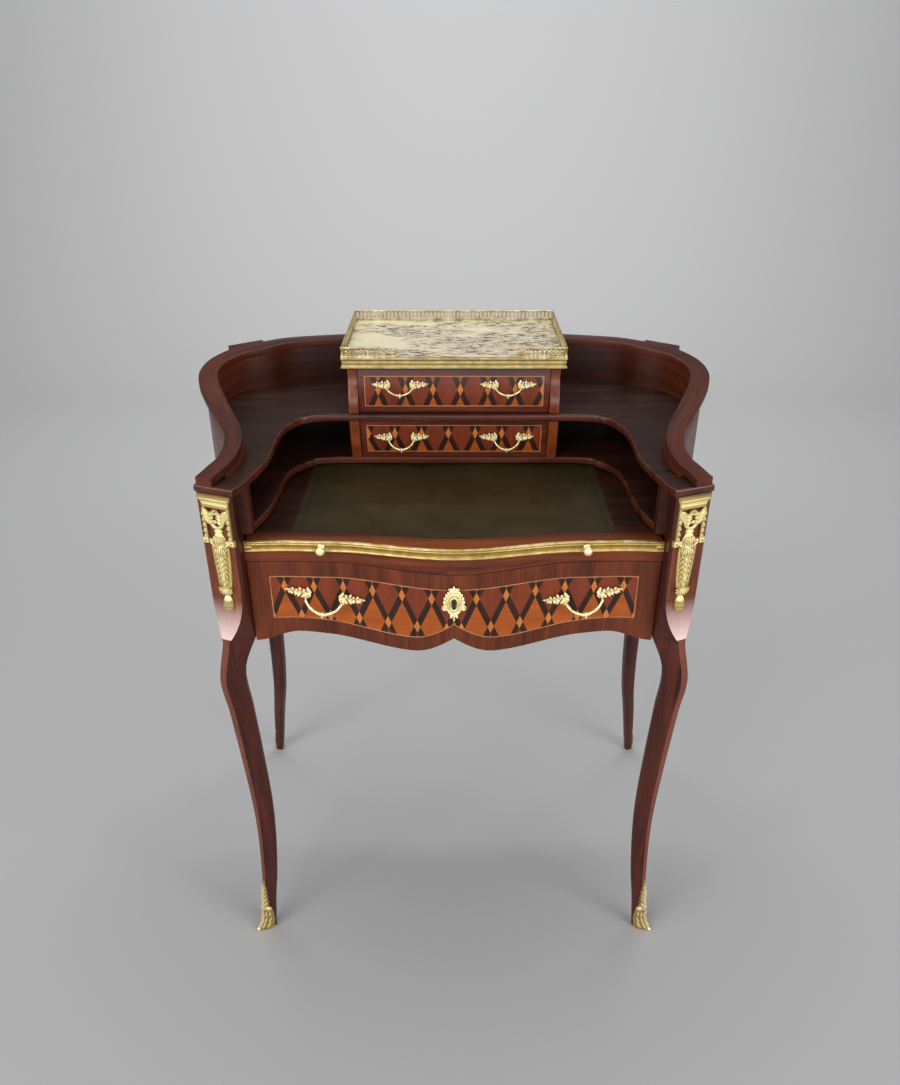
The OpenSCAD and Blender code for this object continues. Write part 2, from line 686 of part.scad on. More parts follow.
function middle(r) = [for (k = [0, 1]) (r[0][k] + r[1][k] + r[2][k] + r[3][k] + r[4][k] + r[5][k]) / 6];
function grown(r, v, by) = let (c = middle(r), d = v - c) v + by * d / norm(d);
cup_full = sabot_cup_h * 0.6;
toe_h = 36;
function shoe_share(z) = mix(0.12, 1, pow(1 - smooth((z - cup_full) / (sabot_h - cup_full)), 2.2));
// How far the front of the shoe reaches out to the toe's tip at height z
function toe_shift(foot, tip, z) = pow(1 - min(1, z / toe_h), 1.6)
    * (tip - (grown(foot, foot[0], mount_t) + grown(foot, foot[1], mount_t)) / 2);
function shoe_outside(r, share, shift) = let (t = mount_t * mix(0.6, 1, share))
    [grown(r, mix(r[0], r[5], share), t), grown(r, r[0], t) + shift,
    grown(r, r[1], t) + shift, grown(r, mix(r[1], r[2], share), t)];
function shoe_inside(r, share) = [for (v = [mix(r[1], r[2], share), r[1], r[0], mix(r[0], r[5], share)])
    grown(r, v, 0.05)];
function sole_inside(r) = [for (v = [mix(r[2], r[3], 0.3), r[3], r[4], mix(r[4], r[5], 0.7)])
    grown(r, v, mount_t * 0.7)];

front_toe = [belly_x - 18, -222];
rear_toe = [belly_x + 22, -front_most - 0.1];
module sabot(side, rear) {
    foot = rear ? rear_ring(leg_foot_z) : leg_ring(leg_foot_z);
    tip = rear ? rear_toe : front_toe;
    sole = [for (z = [0, leg_foot_z - 0.6])
        [for (v = concat(shoe_outside(foot, 1, toe_shift(foot, tip, z)), sole_inside(foot)))
            [v[0], v[1], z]]];
    shoe = [for (i = [0 : 18]) let (z = mix(leg_foot_z - 0.05, sabot_h, pow(i / 18, 1.3)),
        share = shoe_share(z), h = max(z, leg_foot_z), r = rear ? rear_ring(h) : leg_ring(h))
        [for (v = concat(shoe_outside(r, share, toe_shift(foot, tip, z)), shoe_inside(r, share)))
            [v[0], v[1], z]]];
    color(gilt) on_side(side) stack(concat(sole, shoe));
}

// Main drawer

function front_shape(half, low, high, steps) = concat(
    [for (i = [-steps : steps]) let (x = half * i / steps) [x, edge_z(x) + low]],
    [for (i = [steps : -1 : -steps]) let (x = half * i / steps) [x, top_z(x) + high]]);
face_steps = 30;

// Part of the face between depths a and b behind the serpentine line
module face_slab(a, b) {
    linear_extrude(z_front_top + 10)
        polygon(concat(face_line(end_x, a, face_steps), backwards(face_line(end_x, b, face_steps))));
}

module drawer_outline() {
    polygon(front_shape(end_x, 0, 0, face_steps));
}
module panel_outline(less) {
    polygon(front_shape(panel_x - less, band_w + less, -band_w - less, face_steps));
}

keyhole_z = apron_z + key_h;
keyhole_r = 4;
module keyhole() {
    translate([0, front_end_y - bow - 20, keyhole_z]) rotate([-90, 0, 0])
        cylinder(r = keyhole_r, h = 60, $fn = fine);
    translate([-2.2, front_end_y - bow - 20, keyhole_z - 12]) cube([4.4, 60, 12]);
}

pull_tilt = 8;
// The pulls stand on the chord between their two clusters of leaves
pad_at = pull_l * 0.365;
pull_ends = [face_y(pull_x - pad_at), face_y(pull_x + pad_at)];
pull_deg = atan((pull_ends[1] - pull_ends[0]) / (2 * pad_at));
pull_z = apron_z + pull_h;
post_r = 2;
module at_pull(side) {
    on_side(side) translate([pull_x, (pull_ends[0] + pull_ends[1]) / 2, pull_z])
        rotate([0, 0, pull_deg]) rotate([0, -pull_tilt, 0]) children();
}

module pull_posts(l, r, deep) {
    for (s = [-1, 1]) translate([s * l * 0.36, deep, 0]) rotate([90, 0, 0])
        cylinder(r = r, h = deep + 2, $fn = fine);
}

module drawer_front() {
    color(mahogany) difference() {
        intersection() {
            face_slab(veneer_t, veneer_t + front_t);
            across(-reach, 0) drawer_outline();
        }
        keyhole();
        for (s = [-1, 1]) at_pull(s) pull_posts(pull_l, post_r + pin_gap, 30);
        lock_screw_set(lock_screw_r + pin_gap, false);
        // flat seat for the lock behind the bowed front
        translate([-lock_w / 2 - 0.2, lock_y, z_lock - 0.2]) cube([lock_w + 0.4, lock_t, lock_h + 20]);
    }
}

module drawer_crossbanding() {
    color(mahogany) intersection() {
        face_slab(0, veneer_t);
        across(-reach, 0) difference() {
            drawer_outline();
            panel_outline(0);
        }
    }
}

module drawer_stringing() {
    color(light_wood) intersection() {
        face_slab(0, veneer_t);
        across(-reach, 0) difference() {
            panel_outline(0);
            panel_outline(string_w);
        }
    }
}

module drawer_marquetry() {
    color(inlay) difference() {
        intersection() {
            face_slab(0, veneer_t);
            across(-reach, 0) panel_outline(string_w);
        }
        keyhole();
        for (s = [-1, 1]) at_pull(s) pull_posts(pull_l, post_r + pin_gap, 30);
    }
}

side_start = face_y(drawer_half - drawer_side_t) + veneer_t + front_t;
drawer_end = front_end_y + drawer_d;
z_bottom = z_runner + 6;
module drawer_side(side) {
    color(oak) on_side(side)
        translate([drawer_half - drawer_side_t, side_start, z_runner])
            cube([drawer_side_t, drawer_end - side_start, drawer_side_h]);
}

module drawer_back() {
    w = drawer_half - drawer_side_t;
    color(oak) translate([-w, drawer_end - drawer_side_t, z_bottom + drawer_bottom_t])
        cube([2 * w, drawer_side_t, drawer_side_h - 6 - drawer_bottom_t]);
}

module drawer_bottom() {
    w = drawer_half - drawer_side_t;
    color(oak) translate([0, 0, z_bottom]) linear_extrude(drawer_bottom_t) polygon(concat(
        face_line(w, veneer_t + front_t + 0.1, face_steps), [[w, drawer_end], [-w, drawer_end]]));
}

// Cast pull, fixed: two clusters of leaves joined by a slim arc with a collar
module leaf_pad(l) {
    hull() {
        translate([-l * 0.09, 0, -l * 0.045]) rotate([90, 0, 0]) cylinder(r = l * 0.05, h = 4, $fn = 24);
        translate([l * 0.03, 0, l * 0.02]) rotate([90, 0, 0]) cylinder(r = l * 0.075, h = 5, $fn = 24);
        translate([l * 0.125, 0, l * 0.03]) rotate([90, 0, 0]) cylinder(r = l * 0.012, h = 2.5, $fn = 24);
    }
}

stand_off = 15;
module pull_body(l, drop, r) {
    chord = l * 0.54;
    arc_r = (chord * chord / 4 + drop * drop) / (2 * drop);
    sweep = 2 * acos(1 - drop / arc_r);
    low = -l * 0.03;
    // the leaves stand on the face and the arc hangs in front of it
    for (s = [0, 1]) mirror([s, 0, 0]) translate([l * 0.365, 0, 0]) leaf_pad(l);
    for (s = [0, 1]) mirror([s, 0, 0]) translate([chord / 2, 0, low]) rotate([90, 0, 0])
        cylinder(r1 = 3.4, r2 = r, h = stand_off + r, $fn = fine);
    translate([0, -stand_off, low - drop + arc_r]) rotate([90, 0, 0]) rotate([0, 0, 270 - sweep / 2])
        rotate_extrude(angle = sweep, $fn = 96) translate([arc_r, 0]) circle(r = r, $fn = 24);
    translate([0, -stand_off, low - drop]) rotate([0, 90, 0]) translate([0, 0, -3])
        cylinder(r = r + 1.2, h = 6, $fn = fine);
    for (s = [-1, 1]) translate([s * l * 0.36, 1.5, 0]) rotate([90, 0, 0])
        cylinder(r = l * 0.05, h = 3, $fn = fine);
}

pull_r = 2.6;
module drawer_pull(side) {
    color(gilt) difference() {
        at_pull(side) union() {
            pull_body(pull_l, pull_drop, pull_r);
            pull_posts(pull_l, post_r, front_t + veneer_t + 7);
        }
        difference() {
            on_side(1) face_slab(0, 12);
            for (s = [-1, 1]) at_pull(s) pull_posts(pull_l, post_r, 30);
        }
    }
}

module drawer_pull_nuts() {
    color(steel) for (s = [-1, 1]) at_pull(s) for (e = [-1, 1])
        translate([e * pull_l * 0.36, front_t + veneer_t + 0.5, 0]) rotate([-90, 0, 0]) difference() {
            cylinder(r = 5, h = 3, $fn = 6);
            translate([0, 0, -1]) cylinder(r = post_r + pin_gap, h = 6, $fn = fine);
        }
}

module escutcheon() {
    h = escutcheon_h;
    y = front_end_y - bow;
    color(gilt) difference() {
        translate([0, y, keyhole_z - 2]) {
            across(-2.5, 0) hull() for (s = [-1, 1])
                translate([0, s * h * 0.16]) circle(r = h * 0.25, $fn = fine);
            across(-4.5, 0) hull() for (s = [-1, 1])
                translate([0, s * h * 0.12]) circle(r = h * 0.17, $fn = fine);
            for (s = [-1, 1]) across(-4, 0) translate([0, s * h * 0.4]) circle(r = h * 0.1, $fn = fine);
        }
        keyhole();
    }
}

lock_w = 56;
lock_h = 62;
lock_t = 13;
lock_screw_r = 1.6;
lock_y = front_end_y - bow + veneer_t + front_t;
z_lock = z_front_top - top_dip - lock_h - 1;
module lock_screw_set(r, heads) {
    for (x = [-1, 1]) for (z = [6, lock_h - 8])
            translate([x * (lock_w / 2 - 5), lock_y + lock_t, z_lock + z]) {
        rotate([90, 0, 0]) cylinder(r = r, h = lock_t + 8, $fn = fine);
        if (heads) rotate([-90, 0, 0]) cylinder(r = 3.2, h = 1.5, $fn = fine);
    }
}

module lock_case() {
    color(steel) difference() {
        translate([-lock_w / 2, lock_y, z_lock]) cube([lock_w, lock_t, lock_h]);
        translate([-bolt_w / 2 - gap, bolt_y - bolt_t / 2 - gap, z_lock + lock_h - 24])
            cube([bolt_w + 2 * gap, bolt_t + 2 * gap, 30]);
        keyhole();
        lock_screw_set(lock_screw_r + pin_gap, false);
    }
}

module lock_bolt() {
    color(gilt) translate([-bolt_w / 2, bolt_y - bolt_t / 2, z_lock + lock_h - 24 + 0.3])
        cube([bolt_w, bolt_t, 23.7]);
}

module lock_screws() {
    color(steel) lock_screw_set(lock_screw_r, true);
}

// Writing board, which draws out over the drawer

slide_x = post_x - 1.5;
slide_edge = -4;
module slide_plan() {
    polygon(concat(face_line(slide_x, slide_edge + moulding_t, 24),
        [[slide_x, front_end_y + slide_d], [-slide_x, front_end_y + slide_d]]));
}

leather_set = 30;
leather_back = cabinet_y + 52;
module leather_plan(less) {
    w = slide_x - border_w - less;
    polygon(concat([for (i = [-16 : 16]) let (x = w * i / 16)
        [x, face_y(x * 0.78) + slide_edge + leather_set + moulding_t + less]],
        [[w, leather_back - less], [-w, leather_back - less]]));
}

module slide_board() {
    color(mahogany) translate([0, 0, z_slide]) difference() {
        linear_extrude(slide_t) slide_plan();
        translate([0, 0, slide_t - leather_t]) linear_extrude(leather_t + 1) leather_plan(-0.05);
        for (s = [-1, 1]) translate([s * knob_x, face_y(knob_x) + 12, knob_z - z_slide]) rotate([90, 0, 0])
            cylinder(r = knob_pin_r + pin_gap, h = 40, $fn = fine);
    }
}

module slide_leather() {
    color(leather) translate([0, 0, z_slide + slide_t - leather_t]) linear_extrude(leather_t) leather_plan(0);
}

moulding_h = slide_t + slide_lip;
module moulding_layer(z, h, inset) {
    translate([0, 0, z]) linear_extrude(h) polygon(concat(face_line(end_x, slide_edge + inset, 24),
        backwards(face_line(end_x, slide_edge + moulding_t, 24))));
}

knob_z = z_slide + moulding_h / 2;
knob_pin_r = 1.8;
module slide_moulding() {
    color(gilt) translate([0, 0, z_slide]) difference() {
        union() {
            moulding_layer(0, moulding_h * 0.25, 0.6);
            moulding_layer(moulding_h * 0.25, moulding_h * 0.4, 2);
            moulding_layer(moulding_h * 0.65, moulding_h * 0.35, 0);
        }
        for (s = [-1, 1]) translate([s * knob_x, face_y(knob_x) + 12, knob_z - z_slide]) rotate([90, 0, 0])
            cylinder(r = knob_pin_r + pin_gap, h = 40, $fn = fine);
    }
}

module slide_knobs() {
    base = face_y(knob_x) + slide_edge;
    color(gilt) for (s = [-1, 1]) translate([s * knob_x, base, knob_z]) rotate([90, 0, 0]) {
        rotate_extrude($fn = fine)
            polygon([[0, 0], [knob_r * 0.75, 0], [knob_r * 0.7, 1.2], [knob_r * 0.4, 2.4],
            [knob_r * 0.4, knob_l * 0.35], [knob_r * 0.85, knob_l * 0.5], [knob_r, knob_l * 0.7],
            [knob_r * 0.8, knob_l * 0.92], [knob_r * 0.3, knob_l], [0, knob_l]]);
        translate([0, 0, -14]) cylinder(r = knob_pin_r, h = 15, $fn = fine);
    }
}

// Small drawers, alike but for their height and the line of their fronts

small_x = cabinet_x - cabinet_t - gap;
small_end = cabinet_back - 12;
upper_z = z_shelf_top + gap / 2;
upper_front_h = upper_h - gap;
lower_z = z_floor + floor_t + gap / 2;
lower_front_h = lower_h - gap;
small_n = 12;
function upper_line(t) = cabinet_y + small_set - 2.5 * sin(180 * t);
function lower_line(t) = cabinet_y + small_set - 2 + 9 * pow(1 - t, 1.5);
function small_face(upper, t) = upper ? upper_line(t) : lower_line(t);
function small_z(upper) = upper ? upper_z : lower_z;
function small_h(upper) = upper ? upper_front_h : lower_front_h;
small_pull_z = [lower_z + lower_front_h * 0.56, upper_z + upper_front_h * 0.67];

module small_slab(upper, a, b, lo, hi, x) {
    ts = [for (i = [0 : small_n]) mix(lo, hi, i / small_n)];
    along_x(-x, x) polygon(concat(
        [for (t = ts) [small_face(upper, t) + a, small_z(upper) + small_h(upper) * t]],
        [for (t = backwards(ts)) [small_face(upper, t) + b, small_z(upper) + small_h(upper) * t]]));
}

small_post_r = 1.5;
module at_small_pull(upper, side) {
    h = small_pull_z[upper ? 1 : 0];
    t = (h - small_z(upper)) / small_h(upper);
    on_side(side) translate([small_pull_x, small_face(upper, t), h]) children();
}

module small_front(upper) {
    h = small_h(upper);
    lo = small_band / h;
    color(mahogany) difference() {
        small_slab(upper, 0, small_front_t, 0, 1, small_x);
        small_slab(upper, -5, veneer_t, lo, 1 - lo, small_x - small_band);
        for (s = [-1, 1]) at_small_pull(upper, s) pull_posts(small_pull_l, small_post_r + pin_gap, 30);
    }
}

module small_marquetry(upper) {
    h = small_h(upper);
    slack = 0.05;
    lo = (small_band + slack) / h;
    color(inlay) difference() {
        small_slab(upper, 0, veneer_t - slack, lo, 1 - lo, small_x - small_band - slack);
        for (s = [-1, 1]) at_small_pull(upper, s) pull_posts(small_pull_l, small_post_r + pin_gap, 30);
    }
}

// Two sides and a back, dovetailed and glued as one, with a thin bottom between them
small_bottom_t = 5;
function small_start(upper) = small_face(upper, 0) + small_front_t;
module small_carcase(upper) {
    h = small_h(upper) - 8;
    front = small_start(upper);
    color(oak) difference() {
        translate([-small_x, front, small_z(upper)]) cube([2 * small_x, small_end - front, h]);
        translate([-small_x + small_side_t, front - 1, small_z(upper) - 1])
            cube([2 * (small_x - small_side_t), small_end - front - small_side_t + 1, h + 2]);
    }
}

module small_bottom(upper) {
    front = small_start(upper);
    color(oak) translate([-small_x + small_side_t, front, small_z(upper) + 2])
        cube([2 * (small_x - small_side_t), small_end - front - small_side_t, small_bottom_t]);
}

module small_pulls(upper) {
    color(gilt) difference() {
        for (s = [-1, 1]) at_small_pull(upper, s) {
            pull_body(small_pull_l, small_pull_drop, pull_r * 0.75);
            pull_posts(small_pull_l, small_post_r, small_front_t + 3);
        }
        difference() {
            small_slab(upper, 0, 8, 0, 1, small_x);
            for (s = [-1, 1]) at_small_pull(upper, s) pull_posts(small_pull_l, small_post_r, 30);
        }
    }
}

front_leg(-1);  // leg_front_left
front_leg(1);  // leg_front_right
rear_leg(-1);  // leg_rear_left
rear_leg(1);  // leg_rear_right
side_wall(-1);  // side_wall_left
side_wall(1);  // side_wall_right
back_panel();
gallery_cap();
upper_shelf();
floor_board();
front_rail();
slide_bearer(-1);  // slide_bearer_left
slide_bearer(1);  // slide_bearer_right
drawer_runner(-1);  // drawer_runner_left
drawer_runner(1);  // drawer_runner_right
corner_blocks();
cabinet_side(-1);  // cabinet_side_left
cabinet_side(1);  // cabinet_side_right
cabinet_top();
cheek(-1);  // cheek_left
cheek(1);  // cheek_right
marble_top();
tray_band();
tray_gallery();
chute(-1);  // chute_left
chute(1);  // chute_right
chute_pins();
sabot(-1, false);  // sabot_front_left
sabot(1, false);  // sabot_front_right
sabot(-1, true);  // sabot_rear_left
sabot(1, true);  // sabot_rear_right
drawer_front();
drawer_crossbanding();
drawer_marquetry();
drawer_stringing();
drawer_side(-1);  // drawer_side_left
drawer_side(1);  // drawer_side_right
drawer_back();
drawer_bottom();
drawer_pull(-1);  // drawer_pull_left
drawer_pull(1);  // drawer_pull_right
drawer_pull_nuts();
escutcheon();
lock_case();
lock_bolt();
lock_screws();
slide_board();
slide_leather();
slide_moulding();
slide_knobs();
small_front(true);  // upper_drawer_front
small_marquetry(true);  // upper_drawer_marquetry
small_carcase(true);  // upper_drawer_carcase
small_bottom(true);  // upper_drawer_bottom
small_pulls(true);  // upper_drawer_pulls
small_front(false);  // lower_drawer_front
small_marquetry(false);  // lower_drawer_marquetry
small_carcase(false);  // lower_drawer_carcase
small_bottom(false);  // lower_drawer_bottom
small_pulls(false);  // lower_drawer_pulls
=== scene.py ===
"""A lady's writing desk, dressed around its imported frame.

The frame gives plain solids. This script adds the turned, cast and veneered
surfaces and every finish. Sizes are millimetres in the part's own frame: +X is
the sitter's right, +Y is the back, +Z is up. Meshes are scaled to metres.
"""
import logging
import math
from dataclasses import dataclass, field
from enum import Enum
from typing import Callable

import bpy
import numpy as np
from mathutils import Matrix, Vector


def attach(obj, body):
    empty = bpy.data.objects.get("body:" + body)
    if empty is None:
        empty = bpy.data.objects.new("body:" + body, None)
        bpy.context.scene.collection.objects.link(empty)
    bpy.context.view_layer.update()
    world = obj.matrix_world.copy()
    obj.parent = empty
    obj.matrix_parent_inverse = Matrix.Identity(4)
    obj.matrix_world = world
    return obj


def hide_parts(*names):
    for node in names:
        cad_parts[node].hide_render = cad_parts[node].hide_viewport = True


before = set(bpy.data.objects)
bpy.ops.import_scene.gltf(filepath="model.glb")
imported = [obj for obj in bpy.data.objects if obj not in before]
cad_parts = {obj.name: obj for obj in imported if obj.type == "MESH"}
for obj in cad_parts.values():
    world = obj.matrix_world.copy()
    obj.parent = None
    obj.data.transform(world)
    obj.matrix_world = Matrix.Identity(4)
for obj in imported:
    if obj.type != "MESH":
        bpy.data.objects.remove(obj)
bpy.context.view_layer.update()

MM = 0.001
LOG = logging.getLogger("writing_desk")

Number = np.ndarray | float
Points = np.ndarray | list | tuple
Socket = bpy.types.NodeSocket
Value = Socket | float | tuple


class Body(str, Enum):
    """The moving bodies of the desk."""

    CASE = "case"
    DRAWER = "main_drawer"
    BOARD = "writing_slide"
    UPPER = "upper_drawer"
    LOWER = "lower_drawer"


class Side(Enum):
    """A side of the desk, with its sign along X."""

    LEFT = -1
    RIGHT = 1

    @property
    def label(self) -> str:
        """The side's name in piece names."""
        return self.name.lower()


class Ends(Enum):
    """How the first and last ring of a loft are finished."""

    CAP = "cap"
    LOOP = "loop"


class Grain(Enum):
    """Where the grain of a timber runs."""

    MAPPED = "mapped"
    ALONG_X = "x"
    ALONG_Y = "y"
    ALONG_Z = "z"


# Curves and small sums

def smooth(t: np.ndarray) -> np.ndarray:
    """Ease from 0 to 1: three t squared less two t cubed, held at its ends."""
    s = np.clip(t, 0.0, 1.0)
    return s * s * (3 - 2 * s)


def mix(a: Number, b: Number, t: Number) -> Number:
    """The value that is the share t of the way from a to b."""
    return a + (b - a) * t


def through(a: Number, b: Number, c: Number, d: Number, t: Number) -> Number:
    """Cubic between b and c that also heeds their neighbours a and d."""
    return 0.5 * (2 * b + (c - a) * t + (2 * a - 5 * b + 4 * c - d) * t ** 2
                  + (3 * b - a - 3 * c + d) * t ** 3)


def curve(points: Points, steps: int) -> np.ndarray:
    """Smooth curve through points.

    Args:
        points: The points that it passes, in two or three dimensions.
        steps: Number of stretches between one point and the next.

    Returns:
        The curve's points, one row each.
    """
    p = np.asarray(points, float)
    n = len(p) - 1
    i = np.repeat(np.arange(n), steps)
    t = np.tile(np.arange(steps) / steps, n)[:, None]
    q = through(p[np.maximum(i - 1, 0)], p[i], p[i + 1], p[np.minimum(i + 2, n)], t)
    return np.vstack([q, p[-1:]])


def full_turn(count: int) -> np.ndarray:
    """Even angles round a circle."""
    return np.linspace(0, 2 * math.pi, count, endpoint=False)


def flipped(points: np.ndarray) -> np.ndarray:
    """The points mirrored in x and taken backwards."""
    return points[::-1] * np.array([-1, 1])


def whole(half: np.ndarray) -> np.ndarray:
    """Closed outline from its right half, which starts and ends on the middle line."""
    return np.vstack([half, flipped(half)[1:-1]])


def unit(v: np.ndarray) -> np.ndarray:
    """Vectors made one long."""
    return v / np.maximum(np.linalg.norm(v, axis=-1, keepdims=True), 1e-9)


def strides(points: np.ndarray, axis: int = 0) -> np.ndarray:
    """Distances between neighbours along one axis of an array of points."""
    return np.linalg.norm(np.diff(points, axis=axis), axis=-1)


def run_of(line: np.ndarray) -> np.ndarray:
    """Distance of each point of a line from its start, along the line."""
    return np.concatenate([[0], np.cumsum(strides(line))])


def raised(plan: np.ndarray, z: np.ndarray) -> np.ndarray:
    """Plan points with their heights."""
    return np.concatenate([plan, np.broadcast_to(z, plan.shape[:-1])[..., None]], -1)


def normals_of(path: np.ndarray) -> np.ndarray:
    """Left-hand normals of a plan path, from each point's two neighbours."""
    t = unit(np.gradient(path, axis=0))
    return np.stack([-t[:, 1], t[:, 0]], 1)


def skewed(degrees: float, p: Number, q: Number) -> np.ndarray:
    """Plan vector of p along a direction turned by some degrees and q square to it."""
    a = math.radians(degrees)
    p, q = (np.asarray(v, float)[..., None] for v in (p, q))
    return p * [math.cos(a), math.sin(a)] + q * [-math.sin(a), math.cos(a)]


def bend(path: np.ndarray, closed: bool = False) -> tuple[np.ndarray, np.ndarray]:
    """Two steady directions across a space path.

    Args:
        path: Points of the path.
        closed: Whether the path returns to its start.

    Returns:
        Two arrays of unit vectors, square to the path and to each other.
    """
    t = unit(np.roll(path, -1, 0) - np.roll(path, 1, 0) if closed else np.gradient(path, axis=0))
    axis = np.zeros(3)
    axis[int(np.argmin(np.abs(t).mean(0)))] = 1.0
    side = unit(np.cross(t, axis))
    return side, np.cross(side, t)


# Shells

class Shell:
    """Closed surfaces gathered into one mesh, with mapped coordinates and paints."""

    def __init__(self) -> None:
        """Start with nothing."""
        self.points: list[np.ndarray] = []
        self.faces: list[list[int]] = []
        self.maps: list[np.ndarray] = []
        self.paints: list[int] = []
        self.total = 0

    def loft(self, rings: Points, u: np.ndarray | None = None, v: np.ndarray | None = None,
             ends: Ends = Ends.CAP, paint: int = 0, cap_map: np.ndarray | None = None) -> "Shell":
        """Skin through rings of points, turned so that its faces point outwards.

        Args:
            rings: Points as rows of rings, with the last axis x, y and z.
            u: Mapped coordinate of the columns, one more than there are, or a grid.
            v: Mapped coordinate of the rows, or a grid.
            ends: Whether the ends are capped or the rows close on themselves.
            paint: Number of the material.
            cap_map: Mapped coordinates of the caps' corners.

        Returns:
            The shell itself.
        """
        rings = np.asarray(rings, float)
        rows, cols = rings.shape[:2]
        loop = ends is Ends.LOOP
        span = rows if loop else rows - 1
        i, j = np.meshgrid(np.arange(span), np.arange(cols), indexing="ij")
        k, m = (i + 1) % rows, (j + 1) % cols
        quads = np.stack([i * cols + j, i * cols + m, k * cols + m, k * cols + j], -1).reshape(-1, 4)
        if u is None:
            run = np.cumsum(strides(np.concatenate([rings, rings[:, :1]], 1), 1), 1)
            u = np.concatenate([np.zeros((rows, 1)), run], 1)
        if v is None:
            run = np.cumsum(strides(np.concatenate([rings, rings[:1]], 0)).mean(1))
            v = np.concatenate([[0.0], run])[:span + 1]
        u, v = np.asarray(u, float), np.asarray(v, float)
        if u.ndim == 2 and len(u) == span:
            u = np.vstack([u, u[:1]])
        u = np.broadcast_to(u if u.ndim == 2 else u[None, :], (span + 1, cols + 1))
        v = np.broadcast_to(v if v.ndim == 2 else v[:, None], (span + 1, cols + 1))
        both = np.stack([u, v], -1)
        maps = np.stack([both[:-1, :-1], both[:-1, 1:], both[1:, 1:], both[1:, :-1]], 2).reshape(-1, 4, 2)
        p = rings.reshape(-1, 3)
        a, b, c, d = (p[quads[:, n]] for n in range(4))
        size = (a * np.cross(b, c)).sum() + (a * np.cross(c, d)).sum()
        caps: list[np.ndarray] = []
        if not loop:
            caps = [np.arange(cols)[::-1], (rows - 1) * cols + np.arange(cols)]
            for cap in caps:
                q = p[cap]
                size += (q.mean(0) * np.cross(q, np.roll(q, -1, 0))).sum()
        turn = -1 if size < 0 else 1
        self.faces += (quads[:, ::turn] + self.total).tolist()
        self.maps.append(maps[:, ::turn].reshape(-1, 2))
        plain = np.stack([u[0, :cols], v[0, :cols]], -1) if cap_map is None else np.asarray(cap_map, float)
        for cap in caps:
            order = cap[::turn]
            self.faces.append((order + self.total).tolist())
            self.maps.append(plain[order % cols])
        self.paints += [paint] * (len(quads) + len(caps))
        self.points.append(p)
        self.total += len(p)
        return self

    def join(self, other: "Shell", paint: int | None = None) -> "Shell":
        """Take in another shell, with its own paints or with one for all.

        Args:
            other: The other shell.
            paint: Number of the one material for it.

        Returns:
            The shell itself.
        """
        self.faces += [[v + self.total for v in face] for face in other.faces]
        self.maps += other.maps
        self.paints += other.paints if paint is None else [paint] * len(other.paints)
        self.points += other.points
        self.total += other.total
        return self

    def leaf(self, *sizes: Points | Number) -> "Shell":
        """Take in a leaf of the given sizes."""
        return self.join(leaf(*sizes))

    def bead(self, *sizes: Points | Number) -> "Shell":
        """Take in a bead of the given sizes."""
        return self.join(bead(*sizes))

    def moved(self, place: Callable) -> "Shell":
        """A copy with its points moved.

        Args:
            place: Function that gives the new places of an (n, 3) array.

        Returns:
            The copy.
        """
        copy = Shell()
        copy.points = [place(np.vstack(self.points))]
        copy.faces, copy.maps, copy.paints = list(self.faces), list(self.maps), list(self.paints)
        copy.total = self.total
        return copy

    def mirrored(self) -> "Shell":
        """A copy mirrored in x, with its faces still pointing outwards.

        Returns:
            The copy.
        """
        copy = self.moved(lambda p: p * np.array([-1, 1, 1]))
        stops = np.cumsum([len(face) for face in self.faces])
        starts = np.append(0, stops[:-1])
        order = np.concatenate([np.arange(b - 1, a - 1, -1) for a, b in zip(starts, stops)])
        copy.maps = [np.vstack(self.maps)[order]]
        copy.faces = [face[::-1] for face in self.faces]
        return copy

    def piece(self, name: str, body: Body, node: str, slot: str, *finishes: "Finish",
              sharp: float = 35.0) -> None:
        """Make the object, let it ride its body and stand for its node.

        Args:
            name: Name of the new object.
            body: The body that it rides on.
            node: Name of the node that it stands for.
            slot: Name of a material slot; not used.
            finishes: One finish for each paint.
            sharp: Angle in degrees from which an edge stays sharp.
        """
        mesh = bpy.data.meshes.new(name)
        mesh.from_pydata((np.vstack(self.points) * MM).tolist(), [], self.faces)
        layer = mesh.uv_layers.new(name="mapped")
        layer.data.foreach_set("uv", (np.vstack(self.maps) * MM).astype(np.float32).ravel())
        mesh.polygons.foreach_set("material_index", np.array(self.paints, np.int32))
        for finish in finishes:
            mesh.materials.append(finish.material())
        mesh.validate()
        mesh.shade_smooth()
        mesh.set_sharp_from_angle(angle=math.radians(sharp))
        obj = bpy.data.objects.new(name, mesh)
        bpy.context.scene.collection.objects.link(obj)
        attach(obj, body.value)
        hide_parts(node)
        LOG.info("%s: %d faces on %s, for %s", name, len(self.faces), body.value, node)

    def on(self, side: Side) -> "Shell":
        """The shell on the right, or its mirror image on the left."""
        return self if side is Side.RIGHT else self.mirrored()

    def pair(self, name: str, body: Body, node: str, slot: str, *finishes: "Finish",
             sharp: float = 35.0) -> None:
        """Make the piece on the right and its mirror image on the left, as piece does.

        Args:
            name: Name of the new objects, without their side.
            body: The body that they ride on.
            node: Name of the nodes that they stand for, without their side.
            slot: Name of a material slot, passed on to piece.
            finishes: One finish for each paint.
            sharp: Angle in degrees from which an edge stays sharp.
        """
        for side in Side:
            self.on(side).piece(f"{name}_{side.label}", body, f"{node}_{side.label}", slot, *finishes,
                                sharp=sharp)


